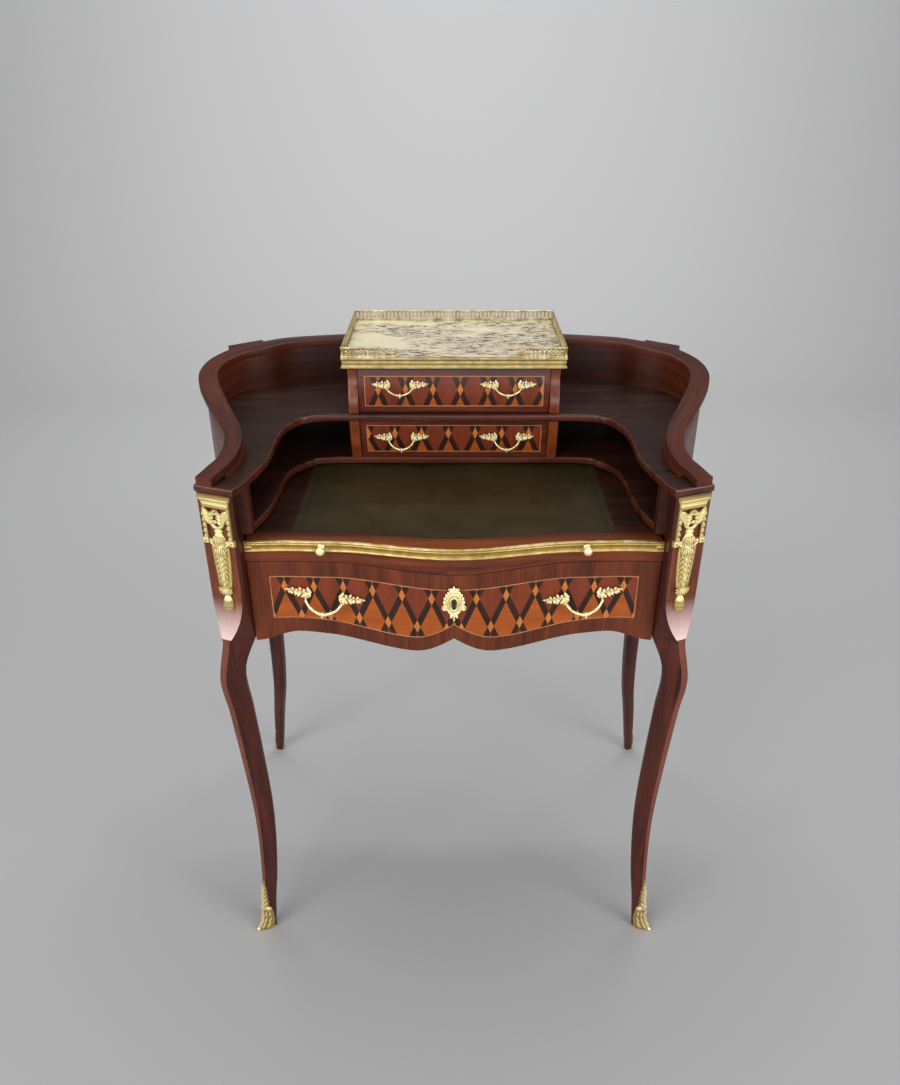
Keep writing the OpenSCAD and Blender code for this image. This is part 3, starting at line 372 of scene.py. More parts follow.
def plate(outline: np.ndarray, low: float, high: float, radius: float = 1.0, under: float | None = None,
          order: tuple = (0, 1, 2), steps: int = 4, paint: int = 0, rim: int | None = None) -> Shell:
    """Board with rounded edges: an outline drawn in along quarter circles at both faces.

    Args:
        outline: Closed outline in the board's plane.
        low: Height of one face.
        high: Height of the other face.
        radius: Rounding of the edge of the high face.
        under: Rounding of the edge of the low face, where it differs.
        order: Which of (first, second, height) gives x, y and z.
        steps: Number of stretches in a quarter circle.
        paint: Number of the material.
        rim: Number of the edge's material, where it differs.

    Returns:
        The board.
    """
    under = radius if under is None else under
    after = np.roll(outline, -1, 0)
    if np.sum(outline[:, 0] * after[:, 1] - outline[:, 1] * after[:, 0]) < 0:
        outline = outline[::-1]
    ahead = unit(np.roll(outline, -1, 0) - outline)
    normal = np.stack([ahead[:, 1], -ahead[:, 0]], 1)
    out = unit(np.roll(normal, 1, 0) + normal)
    out = out / np.maximum((out * normal).sum(1, keepdims=True), 0.5)
    turn = np.linspace(0, math.pi / 2, steps + 1)
    depth = np.concatenate([under * (1 - np.sin(turn)), radius * (1 - np.cos(turn))])
    height = np.concatenate([low + under * (1 - np.cos(turn)), high - radius * (1 - np.sin(turn))])
    rings = raised(outline - out * depth[:, None, None], height[:, None])
    shell = Shell().loft(rings[:, :, list(order)], paint=paint, cap_map=outline)
    if rim is not None:
        shell.paints[:-2] = [rim] * (len(shell.paints) - 2)
    return shell


def tube(path: np.ndarray, radius: Number, cols: int = 10, twist: float = 0.0, flutes: int = 0,
         depth: float = 0.0, closed: bool = False) -> Shell:
    """Round bar along a space path: a circle of the given radius, twisted or fluted.

    Args:
        path: Points of the path.
        radius: Radius, or one for each point.
        cols: Points in a ring.
        twist: Turn of the flutes for each point of the path, in radians.
        flutes: Number of flutes round the bar.
        depth: Depth of the flutes as a share of the radius.
        closed: Whether the path returns to its start.

    Returns:
        The bar.
    """
    side, up = bend(path, closed)
    a = full_turn(cols)
    r = np.broadcast_to(radius, (len(path),))[:, None]
    r = r * (1 - depth * (0.5 + 0.5 * np.cos(flutes * a[None] + twist * np.arange(len(path))[:, None])))
    aside, upward = (r * np.cos(a))[..., None] * side[:, None], (r * np.sin(a))[..., None] * up[:, None]
    return Shell().loft(path[:, None] + aside + upward, ends=Ends.LOOP if closed else Ends.CAP)


def turned(profile: Points, centre: Points = (0, 0, 0), axis: str = "z", cols: int = 24, lobes: int = 0,
           depth: float = 0.0) -> Shell:
    """Turned form: a profile of (radius, height) carried round an axis, with lobes where wanted.

    Args:
        profile: Radius and height of each ring.
        centre: Where height nought lies.
        axis: The axis that it is turned on, x, y or z.
        cols: Points in a ring.
        lobes: Number of lobes round it.
        depth: Depth of the lobes as a share of the radius.

    Returns:
        The turned form.
    """
    p = np.asarray(profile, float)
    a = full_turn(cols)
    r = p[:, :1] * (1 - depth * (0.5 - 0.5 * np.cos(lobes * a)))
    one, two, h = r * np.cos(a), r * np.sin(a), np.broadcast_to(p[:, 1:], (len(p), cols))
    axes = {"z": (one, two, h), "y": (one, h, two), "x": (h, one, two)}[axis]
    return Shell().loft(np.stack(axes, -1) + np.asarray(centre, float))


def bead(centre: Points, radius: float, cols: int = 8, rows: int = 6, tall: float = 1.0) -> Shell:
    """Small ball, or egg where tall differs from one."""
    t = np.linspace(0.06, math.pi - 0.06, rows)
    return turned(np.stack([radius * np.sin(t), -radius * tall * np.cos(t)], 1), centre, cols=cols)


def leaf(base: Points, tip: Points, out: Points, width: float, rise: float = 2.0, thick: float = 1.2,
         lobes: int = 3, rows: int = 12, cols: int = 12, curl: float = 0.5, widest: float = 0.45) -> Shell:
    """Cast leaf: a domed blade with a sunk midrib and scalloped edges, curling at its tip.

    The half width grows and falls as a power of a sine along the blade, cut by lobes
    of a rectified sine. Its middle line rises from the face as a half sine.

    Args:
        base: Root of the leaf.
        tip: Its point.
        out: Direction away from the face that it lies on.
        width: Greatest width.
        rise: How far the middle of the leaf stands off.
        thick: Thickness of the blade at its middle.
        lobes: Scallops along each edge.
        rows: Rings along the leaf.
        cols: Points in a ring.
        curl: How far the tip lifts, as a share of the rise.
        widest: Where along the blade it is widest.

    Returns:
        The leaf.
    """
    base, tip, out = (np.asarray(v, float) for v in (base, tip, out))
    along = tip - base
    out = unit(out - along * (out @ along) / (along @ along))
    across = np.cross(unit(along), out)
    t = np.linspace(0, 1, rows)[:, None]
    warp = t ** (math.log(0.5) / math.log(widest))
    half = 0.5 * width * np.sin(math.pi * np.clip(warp, 0.02, 0.985)) ** 0.75
    half = half * (1 - 0.22 * np.abs(np.cos(math.pi * lobes * t)) * (t > 0.1) * (lobes > 0))
    a = full_turn(cols)[None]
    high = np.sin(a)
    rib = 1 - 0.55 * np.exp(-(np.cos(a) / 0.3) ** 2)
    lift = np.where(high > 0, thick * high * rib, 0.35 * thick * high)
    lift = lift * np.sin(math.pi * np.clip(t, 0.06, 0.96)) ** 0.5
    stand = rise * np.sin(math.pi * t) ** 0.8 + curl * rise * t ** 3 - 0.35 * thick
    lift = lift + stand - 0.25 * rise * np.cos(a) ** 2 * np.sin(math.pi * t)
    return Shell().loft(base + along * t[..., None] + across * (half * np.cos(a))[..., None]
                        + out * lift[..., None])


def volute(centre: Points, radius: float, turn: float, face: Points, start: float = 0.0,
           thick: float = 1.6, hand: int = 1) -> Shell:
    """Scroll: a bar wound inwards on a spiral whose radius falls evenly, with an eye.

    Args:
        centre: Middle of the scroll.
        radius: Outer radius.
        turn: Number of turns.
        face: Direction that the scroll faces.
        start: Angle at which it starts, in degrees.
        thick: Radius of the bar at its start.
        hand: 1 winds to the left, -1 to the right.

    Returns:
        The scroll and its eye.
    """
    centre, face = np.asarray(centre, float), unit(np.asarray(face, float))
    one = unit(np.cross([0.0, 0.0, 1.0], face)) if abs(face[2]) < 0.9 else np.array([1.0, 0, 0])
    two = np.cross(face, one)
    t = np.linspace(0, 1, int(18 * turn) + 2)
    a = math.radians(start) + hand * t * turn * 2 * math.pi
    r = radius * (1 - 0.78 * t)
    path = centre + (r * np.cos(a))[:, None] * one + (r * np.sin(a))[:, None] * two \
        + face * (thick * 0.8 * t)[:, None]
    return tube(path, thick * (1 - 0.45 * t), cols=8).bead(centre + face * thick, thick * 0.8)


# Plan of the desk

@dataclass(frozen=True)
class Plan:
    """Heights, plan curves and leg sections shared by the whole desk."""

    apron_z: float = 592.5
    front_h: float = 129.5
    rail_t: float = 15.8
    slide_t: float = 13.0
    slide_lip: float = 2.0
    floor_t: float = 10.5
    lower_h: float = 64.0
    shelf_t: float = 11.0
    cap_t: float = 11.0
    gallery_rise: float = 54.0
    cabinet_top_t: float = 10.5
    marble_t: float = 15.0
    tray_rail_h: float = 15.0
    belly_x: float = 352.0
    neck_x: float = 277.0
    back_y: float = 195.0
    front_y: float = -236.0
    wall_t: float = 20.0
    bow: float = 22.0
    bow_x: float = 172.0
    front_set: float = 20.0
    hollow: float = 2.0
    top_dip: float = 7.0
    cant_w: float = 50.0
    post_d: float = 34.0
    cant_deg: float = 20.0
    strip_w: float = 10.0
    stile_let: float = 2.4
    stile_w: float = 56.0
    stile_d: float = 37.0
    stile_deg: float = -28.7
    leg_back: float = 14.0
    cabinet_y: float = 20.0
    gap: float = 0.6
    lobe_x: float = 56.0
    arch_x: float = 210.0
    cusp_h: float = 23.5
    arch_h: float = 19.5
    ear_drop: float = 14.0
    shares: tuple = (1, 0.9, 0.8, 0.66, 0.46, 0.33, 0.2, 0.1, 0)
    leans: tuple = (0, 12, 7, 2.5, -2.3, -1.9, 2, 7.6, 9.6)
    girths: tuple = (1, 1.06, 1.01, 0.98, 0.93, 0.87, 0.79, 0.7, 0.62)
    rear_leans: tuple = (6, 16, 25, 30, 33, 42, 61, 73, 84)
    lean_dir: tuple = (0.8, -0.6)
    rear_dir: tuple = (0.56, 0.83)

    @property
    def z_front_top(self) -> float:
        """Upper edge of the drawer front at its ends."""
        return self.apron_z + self.front_h

    @property
    def z_rail(self) -> float:
        """Underside of the rail over the drawer."""
        return self.z_front_top + self.gap

    @property
    def z_slide(self) -> float:
        """Underside of the writing board."""
        return self.z_rail + self.rail_t + self.gap

    @property
    def z_floor(self) -> float:
        """Underside of the compartment floor."""
        return self.z_slide + self.slide_t + self.slide_lip + 0.5

    @property
    def z_shelf(self) -> float:
        """Underside of the upper shelf."""
        return self.z_floor + self.floor_t + self.lower_h

    @property
    def z_shelf_top(self) -> float:
        """Top of the upper shelf."""
        return self.z_shelf + self.shelf_t

    @property
    def z_cap_front(self) -> float:
        """Top of the capping at its front ends."""
        return self.z_shelf_top + self.cap_t

    @property
    def z_cap_back(self) -> float:
        """Top of the capping at the back."""
        return self.z_cap_front + self.gallery_rise

    @property
    def z_marble(self) -> float:
        """Underside of the marble."""
        return self.z_cap_back + self.cabinet_top_t

    @property
    def z_tray(self) -> float:
        """Top of the tray's band."""
        return self.z_marble + self.marble_t + 0.5

    @property
    def tip_z(self) -> float:
        """Height of the point at which a canted face ends."""
        return self.apron_z + 9.5

    @property
    def post_o(self) -> np.ndarray:
        """Middle of a front post's canted face."""
        return np.array([self.neck_x + 20, self.front_y + 2])

    @property
    def post_x(self) -> float:
        """Plane of the posts' inner sides."""
        return self.neck_x - 4

    @property
    def end_x(self) -> float:
        """Half width of the drawer front."""
        return self.post_x - 1

    @property
    def front_end_y(self) -> float:
        """Face of the drawer front at its ends."""
        return self.front_y + self.front_set

    @property
    def stile_o(self) -> np.ndarray:
        """Middle of a rear stile's outer face."""
        return np.array([self.belly_x - 20.5, self.back_y - 29.5])

    def post_at(self, p: Number, q: Number) -> np.ndarray:
        """Plan point at p along a canted face and q behind it."""
        return self.post_o + skewed(self.cant_deg, p, q)

    def post_depth(self, points: np.ndarray) -> np.ndarray:
        """How far plan points lie behind the canted face's plane."""
        return (points - self.post_o) @ skewed(self.cant_deg, 0, 1)

    def stile_at(self, p: Number, q: Number) -> np.ndarray:
        """Plan point at p along a rear stile's outer face and q in front of it."""
        return self.stile_o - skewed(self.stile_deg, p, q)

    def inner_half(self, steps: int = 14) -> np.ndarray:
        """The gallery's inner line from the back's middle to the right front end.

        Args:
            steps: Points between two of the line's own.

        Returns:
            Points (x, y) of a smooth curve through the line's own points.
        """
        b, n = self.belly_x, self.neck_x
        by, ny = self.back_y - 130, self.front_y + 90
        return curve([[0, self.back_y], [b - 222, self.back_y - 4], [b - 106, self.back_y - 24],
                      [b - 62, by + 82], [b - 27, by + 60], [b - 6, by + 30], [b, by], [b - 5, by - 29],
                      [b - 18, by - 63], [b - 43, by - 118], [n + 9, ny + 42], [n, ny],
                      [n + 2.5, ny - 39], [n + 11.5, ny - 65], [n + 20, self.front_y]], steps)

    def cap_w(self, y: np.ndarray) -> np.ndarray:
        """Width of the capping, which narrows from the back to the front ends."""
        return mix(self.wall_t + 2, self.wall_t + 8, smooth((y - self.front_y) / 300))

    def cap_z(self, y: np.ndarray) -> np.ndarray:
        """Height of the capping's top, which rises from front to back."""
        t = np.clip((y - self.front_y) / (self.back_y - 24 - self.front_y), 0, 1)
        return self.z_cap_front + self.gallery_rise * mix(t, smooth(t), 0.3)

    def face_y(self, x: np.ndarray) -> np.ndarray:
        """Serpentine line: a squared cosine bow in the middle and slight hollows beside it.

        Args:
            x: Places along the front.

        Returns:
            How far back the line lies there.
        """
        a = np.abs(x)
        bowed = self.front_end_y - self.bow * np.cos(math.pi / 2 * a / self.bow_x) ** 2
        t = np.clip((a - self.bow_x) / (self.end_x - self.bow_x), 0, 1)
        return np.where(a < self.bow_x, bowed, self.front_end_y + self.hollow * np.sin(math.pi * t) ** 2)

    def top_z(self, x: np.ndarray) -> np.ndarray:
        """Upper edge of the drawer front, which dips as a squared cosine."""
        a = np.abs(x)
        dip = self.top_dip * np.cos(math.pi / 2 * a / self.bow_x) ** 2
        return self.z_front_top - np.where(a < self.bow_x, dip, 0)

    def edge_z(self, x: np.ndarray) -> np.ndarray:
        """Lower edge of the drawer front: a cusp, two lobes, two arches and two ears.

        Args:
            x: Places along the front.

        Returns:
            The edge's heights, each stretch a sine or a squared sine of its share.
        """
        def rise(start: float, end: float) -> np.ndarray:
            """Sine of the share of a stretch."""
            return np.sin(math.pi / 2 * np.clip((a - start) / (end - start), 0, 1))

        a = np.abs(x)
        lobe = self.cusp_h * (1 - rise(0, self.lobe_x))
        arch = self.arch_h * rise(self.lobe_x, self.arch_x) ** 2
        ear = self.arch_h - self.ear_drop * rise(self.arch_x, self.end_x) ** 2
        return self.apron_z + np.where(a < self.lobe_x, lobe, np.where(a < self.arch_x, arch, ear))

    def along(self, z: np.ndarray, values: tuple) -> np.ndarray:
        """Value at height z of a list that goes with the legs' shares of height.

        Args:
            z: Heights.
            values: The list.

        Returns:
            The list read as a cubic through its values.
        """
        s = np.minimum(z / self.tip_z, 1)
        share, k = np.array(self.shares, float), np.array(values, float)
        i = np.clip((share[None] > s[:, None]).sum(1) - 1, 0, 7)
        t = (share[i] - s) / (share[i] - share[i + 1])
        return through(k[np.maximum(i - 1, 0)], k[i], k[i + 1], k[np.minimum(i + 2, 8)], t)

    def leg_common(self, z: np.ndarray, taper: float) -> tuple[np.ndarray, ...]:
        """What the sections of both kinds of leg share.

        Args:
            z: Heights.
            taper: Height over which the post narrows to the leg.

        Returns:
            Narrowing, easing, girth and half the width of the strip on the arris.
        """
        above = z > self.tip_z
        u = (1 - np.clip((z - self.tip_z) / taper, 0, 1)) ** 2
        e = np.where(above, 0, 1 - (1 - np.clip((self.tip_z - z) / 50.0, 0, 1)) ** 2)
        k = np.where(above, 1, self.along(z, self.girths))
        c = self.strip_w / 2 * np.where(above, 1, mix(0.5, 1, smooth(z / self.tip_z)))
        return u, e, k, c

    def front_corners(self, z: np.ndarray) -> np.ndarray:
        """Section of a front leg.

        Args:
            z: Heights.

        Returns:
            Six corners at each height, in plan.
        """
        u, e, k, c = self.leg_common(z, 84.0)
        half, tan = self.cant_w / 2, math.tan(math.radians(self.cant_deg))
        post_in = (self.post_x - self.post_o[0]) / math.cos(math.radians(self.cant_deg))
        in_q = mix(4.0, 26.0, u)
        in_p = post_in + in_q * tan
        low = mix(self.post_d, 36 * k, e)
        p = [mix(-half + 4, 15 - c, u), mix(half, 15 + c, u), mix(half - 1, 25 + c + 10 * (k - 1), u),
             mix(half - 2.4, mix(half - 2.4, 15 + c - 5 * k, e), u),
             mix(post_in + self.post_d * tan, 15 - c - 7 * k, e), mix(in_p, 15 - c - 19 * k, e)]
        q = [0 * z, 0 * z, 17 * mix(1, k, e), low, low, mix(in_q, 19 * k, e)]
        lean = np.where(z > self.tip_z, 0, self.along(z, self.leans))[:, None] * np.array(self.lean_dir)
        back = np.where(z > self.tip_z, 0, self.leg_back * smooth((self.tip_z - z) / 400))
        lean[:, 1] += back
        return self.post_at(np.stack(p, 1), np.stack(q, 1)) + lean[:, None]

    def rear_corners(self, z: np.ndarray) -> np.ndarray:
        """Section of a rear leg.

        Args:
            z: Heights.

        Returns:
            Six corners at each height, in plan.
        """
        u, e, k, c = self.leg_common(z, 60.0)
        half = self.stile_w / 2
        side_q = mix(mix(0, 14, u), 15 * k, e)
        low = mix(self.stile_d - self.stile_let, 33 * k, e)
        p = [mix(-half, -c, u), mix(half, c, u), mix(half, c + 14 * k, e), mix(half, 4 * k, e),
             mix(-half, -4 * k, e), mix(-half, -c - 14 * k, e)]
        q = [0 * z, 0 * z, side_q, low, low, side_q]
        lean = np.where(z > self.tip_z, 0, smooth((self.tip_z - z) / 50) * self.along(z, self.rear_leans))
        return self.stile_at(np.stack(p, 1), np.stack(q, 1)) + lean[:, None, None] * np.array(self.rear_dir)

    def corners(self, z: np.ndarray, rear: bool) -> np.ndarray:
        """Corners of a rear or a front leg's section."""
        return self.rear_corners(z) if rear else self.front_corners(z)


PLAN = Plan()

# Finishes

def tone(red: float, green: float, blue: float) -> tuple[float, float, float, float]:
    """Scene colour of a colour given as it looks on screen, from 0 to 255.

    Args:
        red: Red part.
        green: Green part.
        blue: Blue part.

    Returns:
        Linear colour, by the usual screen curve.
    """
    c = np.array([red, green, blue]) / 255
    lin = np.where(c <= 0.04045, c / 12.92, ((c + 0.055) / 1.055) ** 2.4)
    return (*(float(v) for v in lin), 1.0)


def shade(colour: tuple, share: float) -> tuple:
    """The colour made darker or lighter by a share, up to full."""
    return (*(min(1.0, share * v) for v in colour[:3]), 1.0)


class Graph:
    """A node tree with short calls that make, set and link its nodes."""

    def __init__(self, tree: bpy.types.NodeTree) -> None:
        """Work on the given tree."""
        self.tree = tree

    def feed(self, socket: Socket, value: Value) -> None:
        """Link a socket to another, or set its value.

        Args:
            socket: The socket that is fed.
            value: Another socket or a constant.
        """
        if isinstance(value, Socket):
            self.tree.links.new(value, socket)
        else:
            socket.default_value = value

    def node(self, kind: str, inputs: dict, **settings: object) -> bpy.types.Node:
        """Make a node.

        Args:
            kind: Its type, without ShaderNode.
            inputs: What feeds its inputs.
            settings: Its properties.

        Returns:
            The node.
        """
        made = self.tree.nodes.new("ShaderNode" + kind)
        for key, value in settings.items():
            setattr(made, key, value)
        for key, value in inputs.items():
            self.feed(made.inputs[key], value)
        return made

    def math(self, kind: str, a: Value, b: Value = 0.0, c: Value = 0.0) -> Socket:
        """One sum of up to three values."""
        return self.node("Math", {0: a, 1: b, 2: c}, operation=kind).outputs[0]

    def times(self, a: Value, b: Value) -> Socket:
        """One value times another."""
        return self.math("MULTIPLY", a, b)

    def plus(self, a: Value, b: Value) -> Socket:
        """One value and another."""
        return self.math("ADD", a, b)

    def minus(self, a: Value, b: Value) -> Socket:
        """One value less another."""
        return self.math("SUBTRACT", a, b)

    def below(self, a: Value, b: Value) -> Socket:
        """1 where one value is less than another."""
        return self.math("LESS_THAN", a, b)

    def above(self, a: Value, b: Value) -> Socket:
        """1 where one value is greater than another."""
        return self.math("GREATER_THAN", a, b)

    def blend(self, share: Value, a: Value, b: Value) -> Socket:
        """Two colours mixed by a share."""
        return self.node("Mix", {0: share, 6: a, 7: b}, data_type="RGBA").outputs[2]

    def span(self, value: Value, low: float, high: float, to_low: float = 0.0,
             to_high: float = 1.0) -> Socket:
        """A value brought from one range to another and held there."""
        return self.node("MapRange", {0: value, 1: low, 2: high, 3: to_low, 4: to_high}).outputs[0]

    def scaled(self, vector: Value, scale: tuple, shift: tuple = (0, 0, 0)) -> Socket:
        """A vector scaled and shifted along its axes."""
        return self.node("Mapping", {"Vector": vector, "Location": shift, "Scale": scale}).outputs[0]

    def noise(self, vector: Value, scale: float = 1.0, detail: float = 4.0, rough: float = 0.55,
              warp: float = 0.0) -> Socket:
        """Soft noise from 0 to 1."""
        return self.node("TexNoise", {"Vector": vector, "Scale": scale, "Detail": detail,
                                      "Roughness": rough, "Distortion": warp}).outputs[0]

    def chance(self, vector: Value) -> Socket:
        """An even random value for each place of a vector with whole numbers."""
        return self.node("TexWhiteNoise", {"Vector": vector}, noise_dimensions="3D").outputs[0]

    def parts(self, vector: Value) -> bpy.types.NodeOutputs:
        """The three parts of a vector."""
        return self.node("SeparateXYZ", {0: vector}).outputs

    def joined(self, x: Value, y: Value, z: Value = 0.0) -> Socket:
        """A vector from three parts."""
        return self.node("CombineXYZ", {0: x, 1: y, 2: z}).outputs[0]

    def place(self, mapped: bool = False) -> Socket:
        """Place on the piece in millimetres.

        Args:
            mapped: Whether it comes from the piece's own map and not from its object.

        Returns:
            The place.
        """
        if mapped:
            source = self.node("UVMap", {}, uv_map="mapped").outputs[0]
        else:
            source = self.node("TexCoord", {}).outputs["Object"]
        return self.scaled(source, (1 / MM, 1 / MM, 1 / MM))

    def use(self, group: bpy.types.NodeTree, **inputs: Value) -> bpy.types.NodeOutputs:
        """Place a shared effect.

        Args:
            group: The effect.
            inputs: What feeds it.

        Returns:
            Its outputs.
        """
        made = self.tree.nodes.new("ShaderNodeGroup")
        made.node_tree = group
        for key, value in inputs.items():
            self.feed(made.inputs[key], value)
        return made.outputs

    def dress(self, shader: bpy.types.Node, values: dict, bump: tuple) -> None:
        """Feed a shader.

        Args:
            shader: The shader.
            values: What feeds each socket.
            bump: Strength, distance in metres and height of its bump.
        """
        for key, value in values.items():
            self.feed(shader.inputs[key], value)
        made = self.node("Bump", dict(zip(("Strength", "Distance", "Height"), bump)))
        self.feed(shader.inputs["Normal"], made.outputs[0])


class Effects:
    """Effects that several finishes share, each built once as a node group."""

    made: dict[str, bpy.types.NodeTree] = {}

    @classmethod
    def group(cls, name: str, inputs: dict, outputs: tuple, build: Callable) -> bpy.types.NodeTree:
        """Make a group on first use.

        Args:
            name: Name of the group.
            inputs: Default value for each input, or None for a vector.
            outputs: Names of the outputs, all plain values.
            build: Function of a graph and the inputs that returns the outputs.

        Returns:
            The group.
        """
        if name not in cls.made:
            tree = bpy.data.node_groups.new(name, "ShaderNodeTree")
            for key, value in inputs.items():
                kind = "NodeSocketVector" if value is None else "NodeSocketFloat"
                socket = tree.interface.new_socket(key, in_out="INPUT", socket_type=kind)
                if value is not None:
                    socket.default_value = value
            for key in outputs:
                tree.interface.new_socket(key, in_out="OUTPUT", socket_type="NodeSocketFloat")
            start = tree.nodes.new("NodeGroupInput")
            stop = tree.nodes.new("NodeGroupOutput")
            for value, socket in zip(build(Graph(tree), start.outputs), stop.inputs):
                tree.links.new(value, socket)
            cls.made[name] = tree
        return cls.made[name]

    @classmethod
    def grain(cls) -> bpy.types.NodeTree:
        """Timber grain: broad figure, streaks and pores, drawn out along the vector's x.

        Returns:
            The group.
        """
        def build(g: Graph, given: bpy.types.NodeOutputs) -> tuple:
            """Three noises, each stretched its own way."""
            vector, fine = given["Vector"], given["Fine"]
            x, y, z = g.parts(vector)
            broad = g.noise(g.scaled(vector, (0.005, 0.05, 0.05)), 1.0, 5.0, 0.6, 0.4)
            streak = g.joined(g.times(x, 0.014), g.times(y, fine), g.times(z, fine))
            streak = g.noise(streak, 1.0, 5.0, 0.65, 0.25)
            pore = g.noise(g.scaled(vector, (0.07, 2.1, 2.1)), 1.0, 2.0, 0.5)
            figure = g.math("MULTIPLY_ADD", broad, 0.55, g.times(streak, 0.45))
            return g.span(figure, 0.36, 0.64), g.span(pore, 0.60, 0.74)
        return cls.group("timber_grain", {"Vector": None, "Fine": 0.35}, ("Figure", "Pores"), build)

    @classmethod
    def wear(cls) -> bpy.types.NodeTree:
        """Worn edges and filled recesses, from how pointed the surface is.

        Returns:
            The group.
        """
        def build(g: Graph, given: bpy.types.NodeOutputs) -> tuple:
            """Edges in patches, recesses everywhere."""
            point = g.node("NewGeometry", {}).outputs["Pointiness"]
            patch = g.noise(given["Vector"], 0.06, 3.0, 0.6)
            edge = g.times(g.span(point, 0.52, 0.60), g.span(patch, 0.40, 0.62))
            return edge, g.span(point, 0.49, 0.42)
        return cls.group("edge_wear", {"Vector": None}, ("Edge", "Recess"), build)

    @classmethod
    def trellis(cls) -> bpy.types.NodeTree:
        """Lattice of two sloping sets of bands.

        The place is divided by the pitch after its height has been added to, or taken
        from, its width, so each set of bands lies where that sum is near a whole number.

        Returns:
            The group.
        """
        def build(g: Graph, given: bpy.types.NodeOutputs) -> tuple:
            """Bands, their crossings, the lower cells and a chance for each cell."""
            x, y, _ = g.parts(given["Vector"])
            lean = g.math("DIVIDE", y, given["Slope"])
            half = g.math("DIVIDE", given["Width"], g.times(given["Pitch"], 2.0))
            lanes = [g.math("DIVIDE", place, given["Pitch"]) for place in (g.plus(x, lean), g.minus(x, lean))]
            near = [g.below(g.math("PINGPONG", lane, 0.5), half) for lane in lanes]
            cross = g.times(*near)
            bands = g.minus(g.math("MAXIMUM", *near), cross)
            cells = [g.math("FLOOR", lane) for lane in lanes]
            odd = g.minus(1.0, g.below(g.math("PINGPONG", g.minus(*cells), 1.0), 0.5))
            return bands, cross, odd, g.chance(g.joined(*cells, 3.0))
        inputs = {"Vector": None, "Pitch": 40.0, "Width": 8.6, "Slope": 2.36}
        return cls.group("trellis", inputs, ("Bands", "Cross", "Lower", "Cell"), build)


class Finish:
    """A finish: it fills a new material's graph and sets the shader."""

    name: str

    def fill(self, g: Graph, shader: bpy.types.Node) -> None:
        """Build the nodes that feed the shader."""
        raise NotImplementedError

    def material(self) -> bpy.types.Material:
        """The finish's material.

        Returns:
            The material, made on first use.
        """
        found = bpy.data.materials.get(self.name)
        if found:
            return found
        made = bpy.data.materials.new(self.name)
        made.use_nodes = True
        self.fill(Graph(made.node_tree), made.node_tree.nodes["Principled BSDF"])
        return made

    @staticmethod
    def polish(g: Graph, shader: bpy.types.Node, colour: Value, wood: bpy.types.NodeOutputs, gloss: float,
               coat: float) -> None:
        """French polish over a timber: a clear coat, slightly uneven, with pores just showing.

        Args:
            g: The material's graph.
            shader: The shader.
            colour: Colour of the timber.
            wood: Outputs of its grain.
            gloss: Roughness of the smoothest places.
            coat: Weight of the clear coat.
        """
        haze = g.noise(g.place(), 0.012, 3.0, 0.6)
        rough = g.plus(g.times(wood["Figure"], 0.1), g.span(haze, 0.3, 0.7, gloss, gloss + 0.12))
        values = {"Base Color": colour, "Roughness": rough, "Coat Weight": coat, "Coat Roughness": 0.14,
                  "IOR": 1.45, "Specular IOR Level": 0.25}
        height = g.math("MULTIPLY_ADD", wood["Pores"], -0.5, g.times(haze, 2.0))
        g.dress(shader, values, (0.12, 0.0004, height))


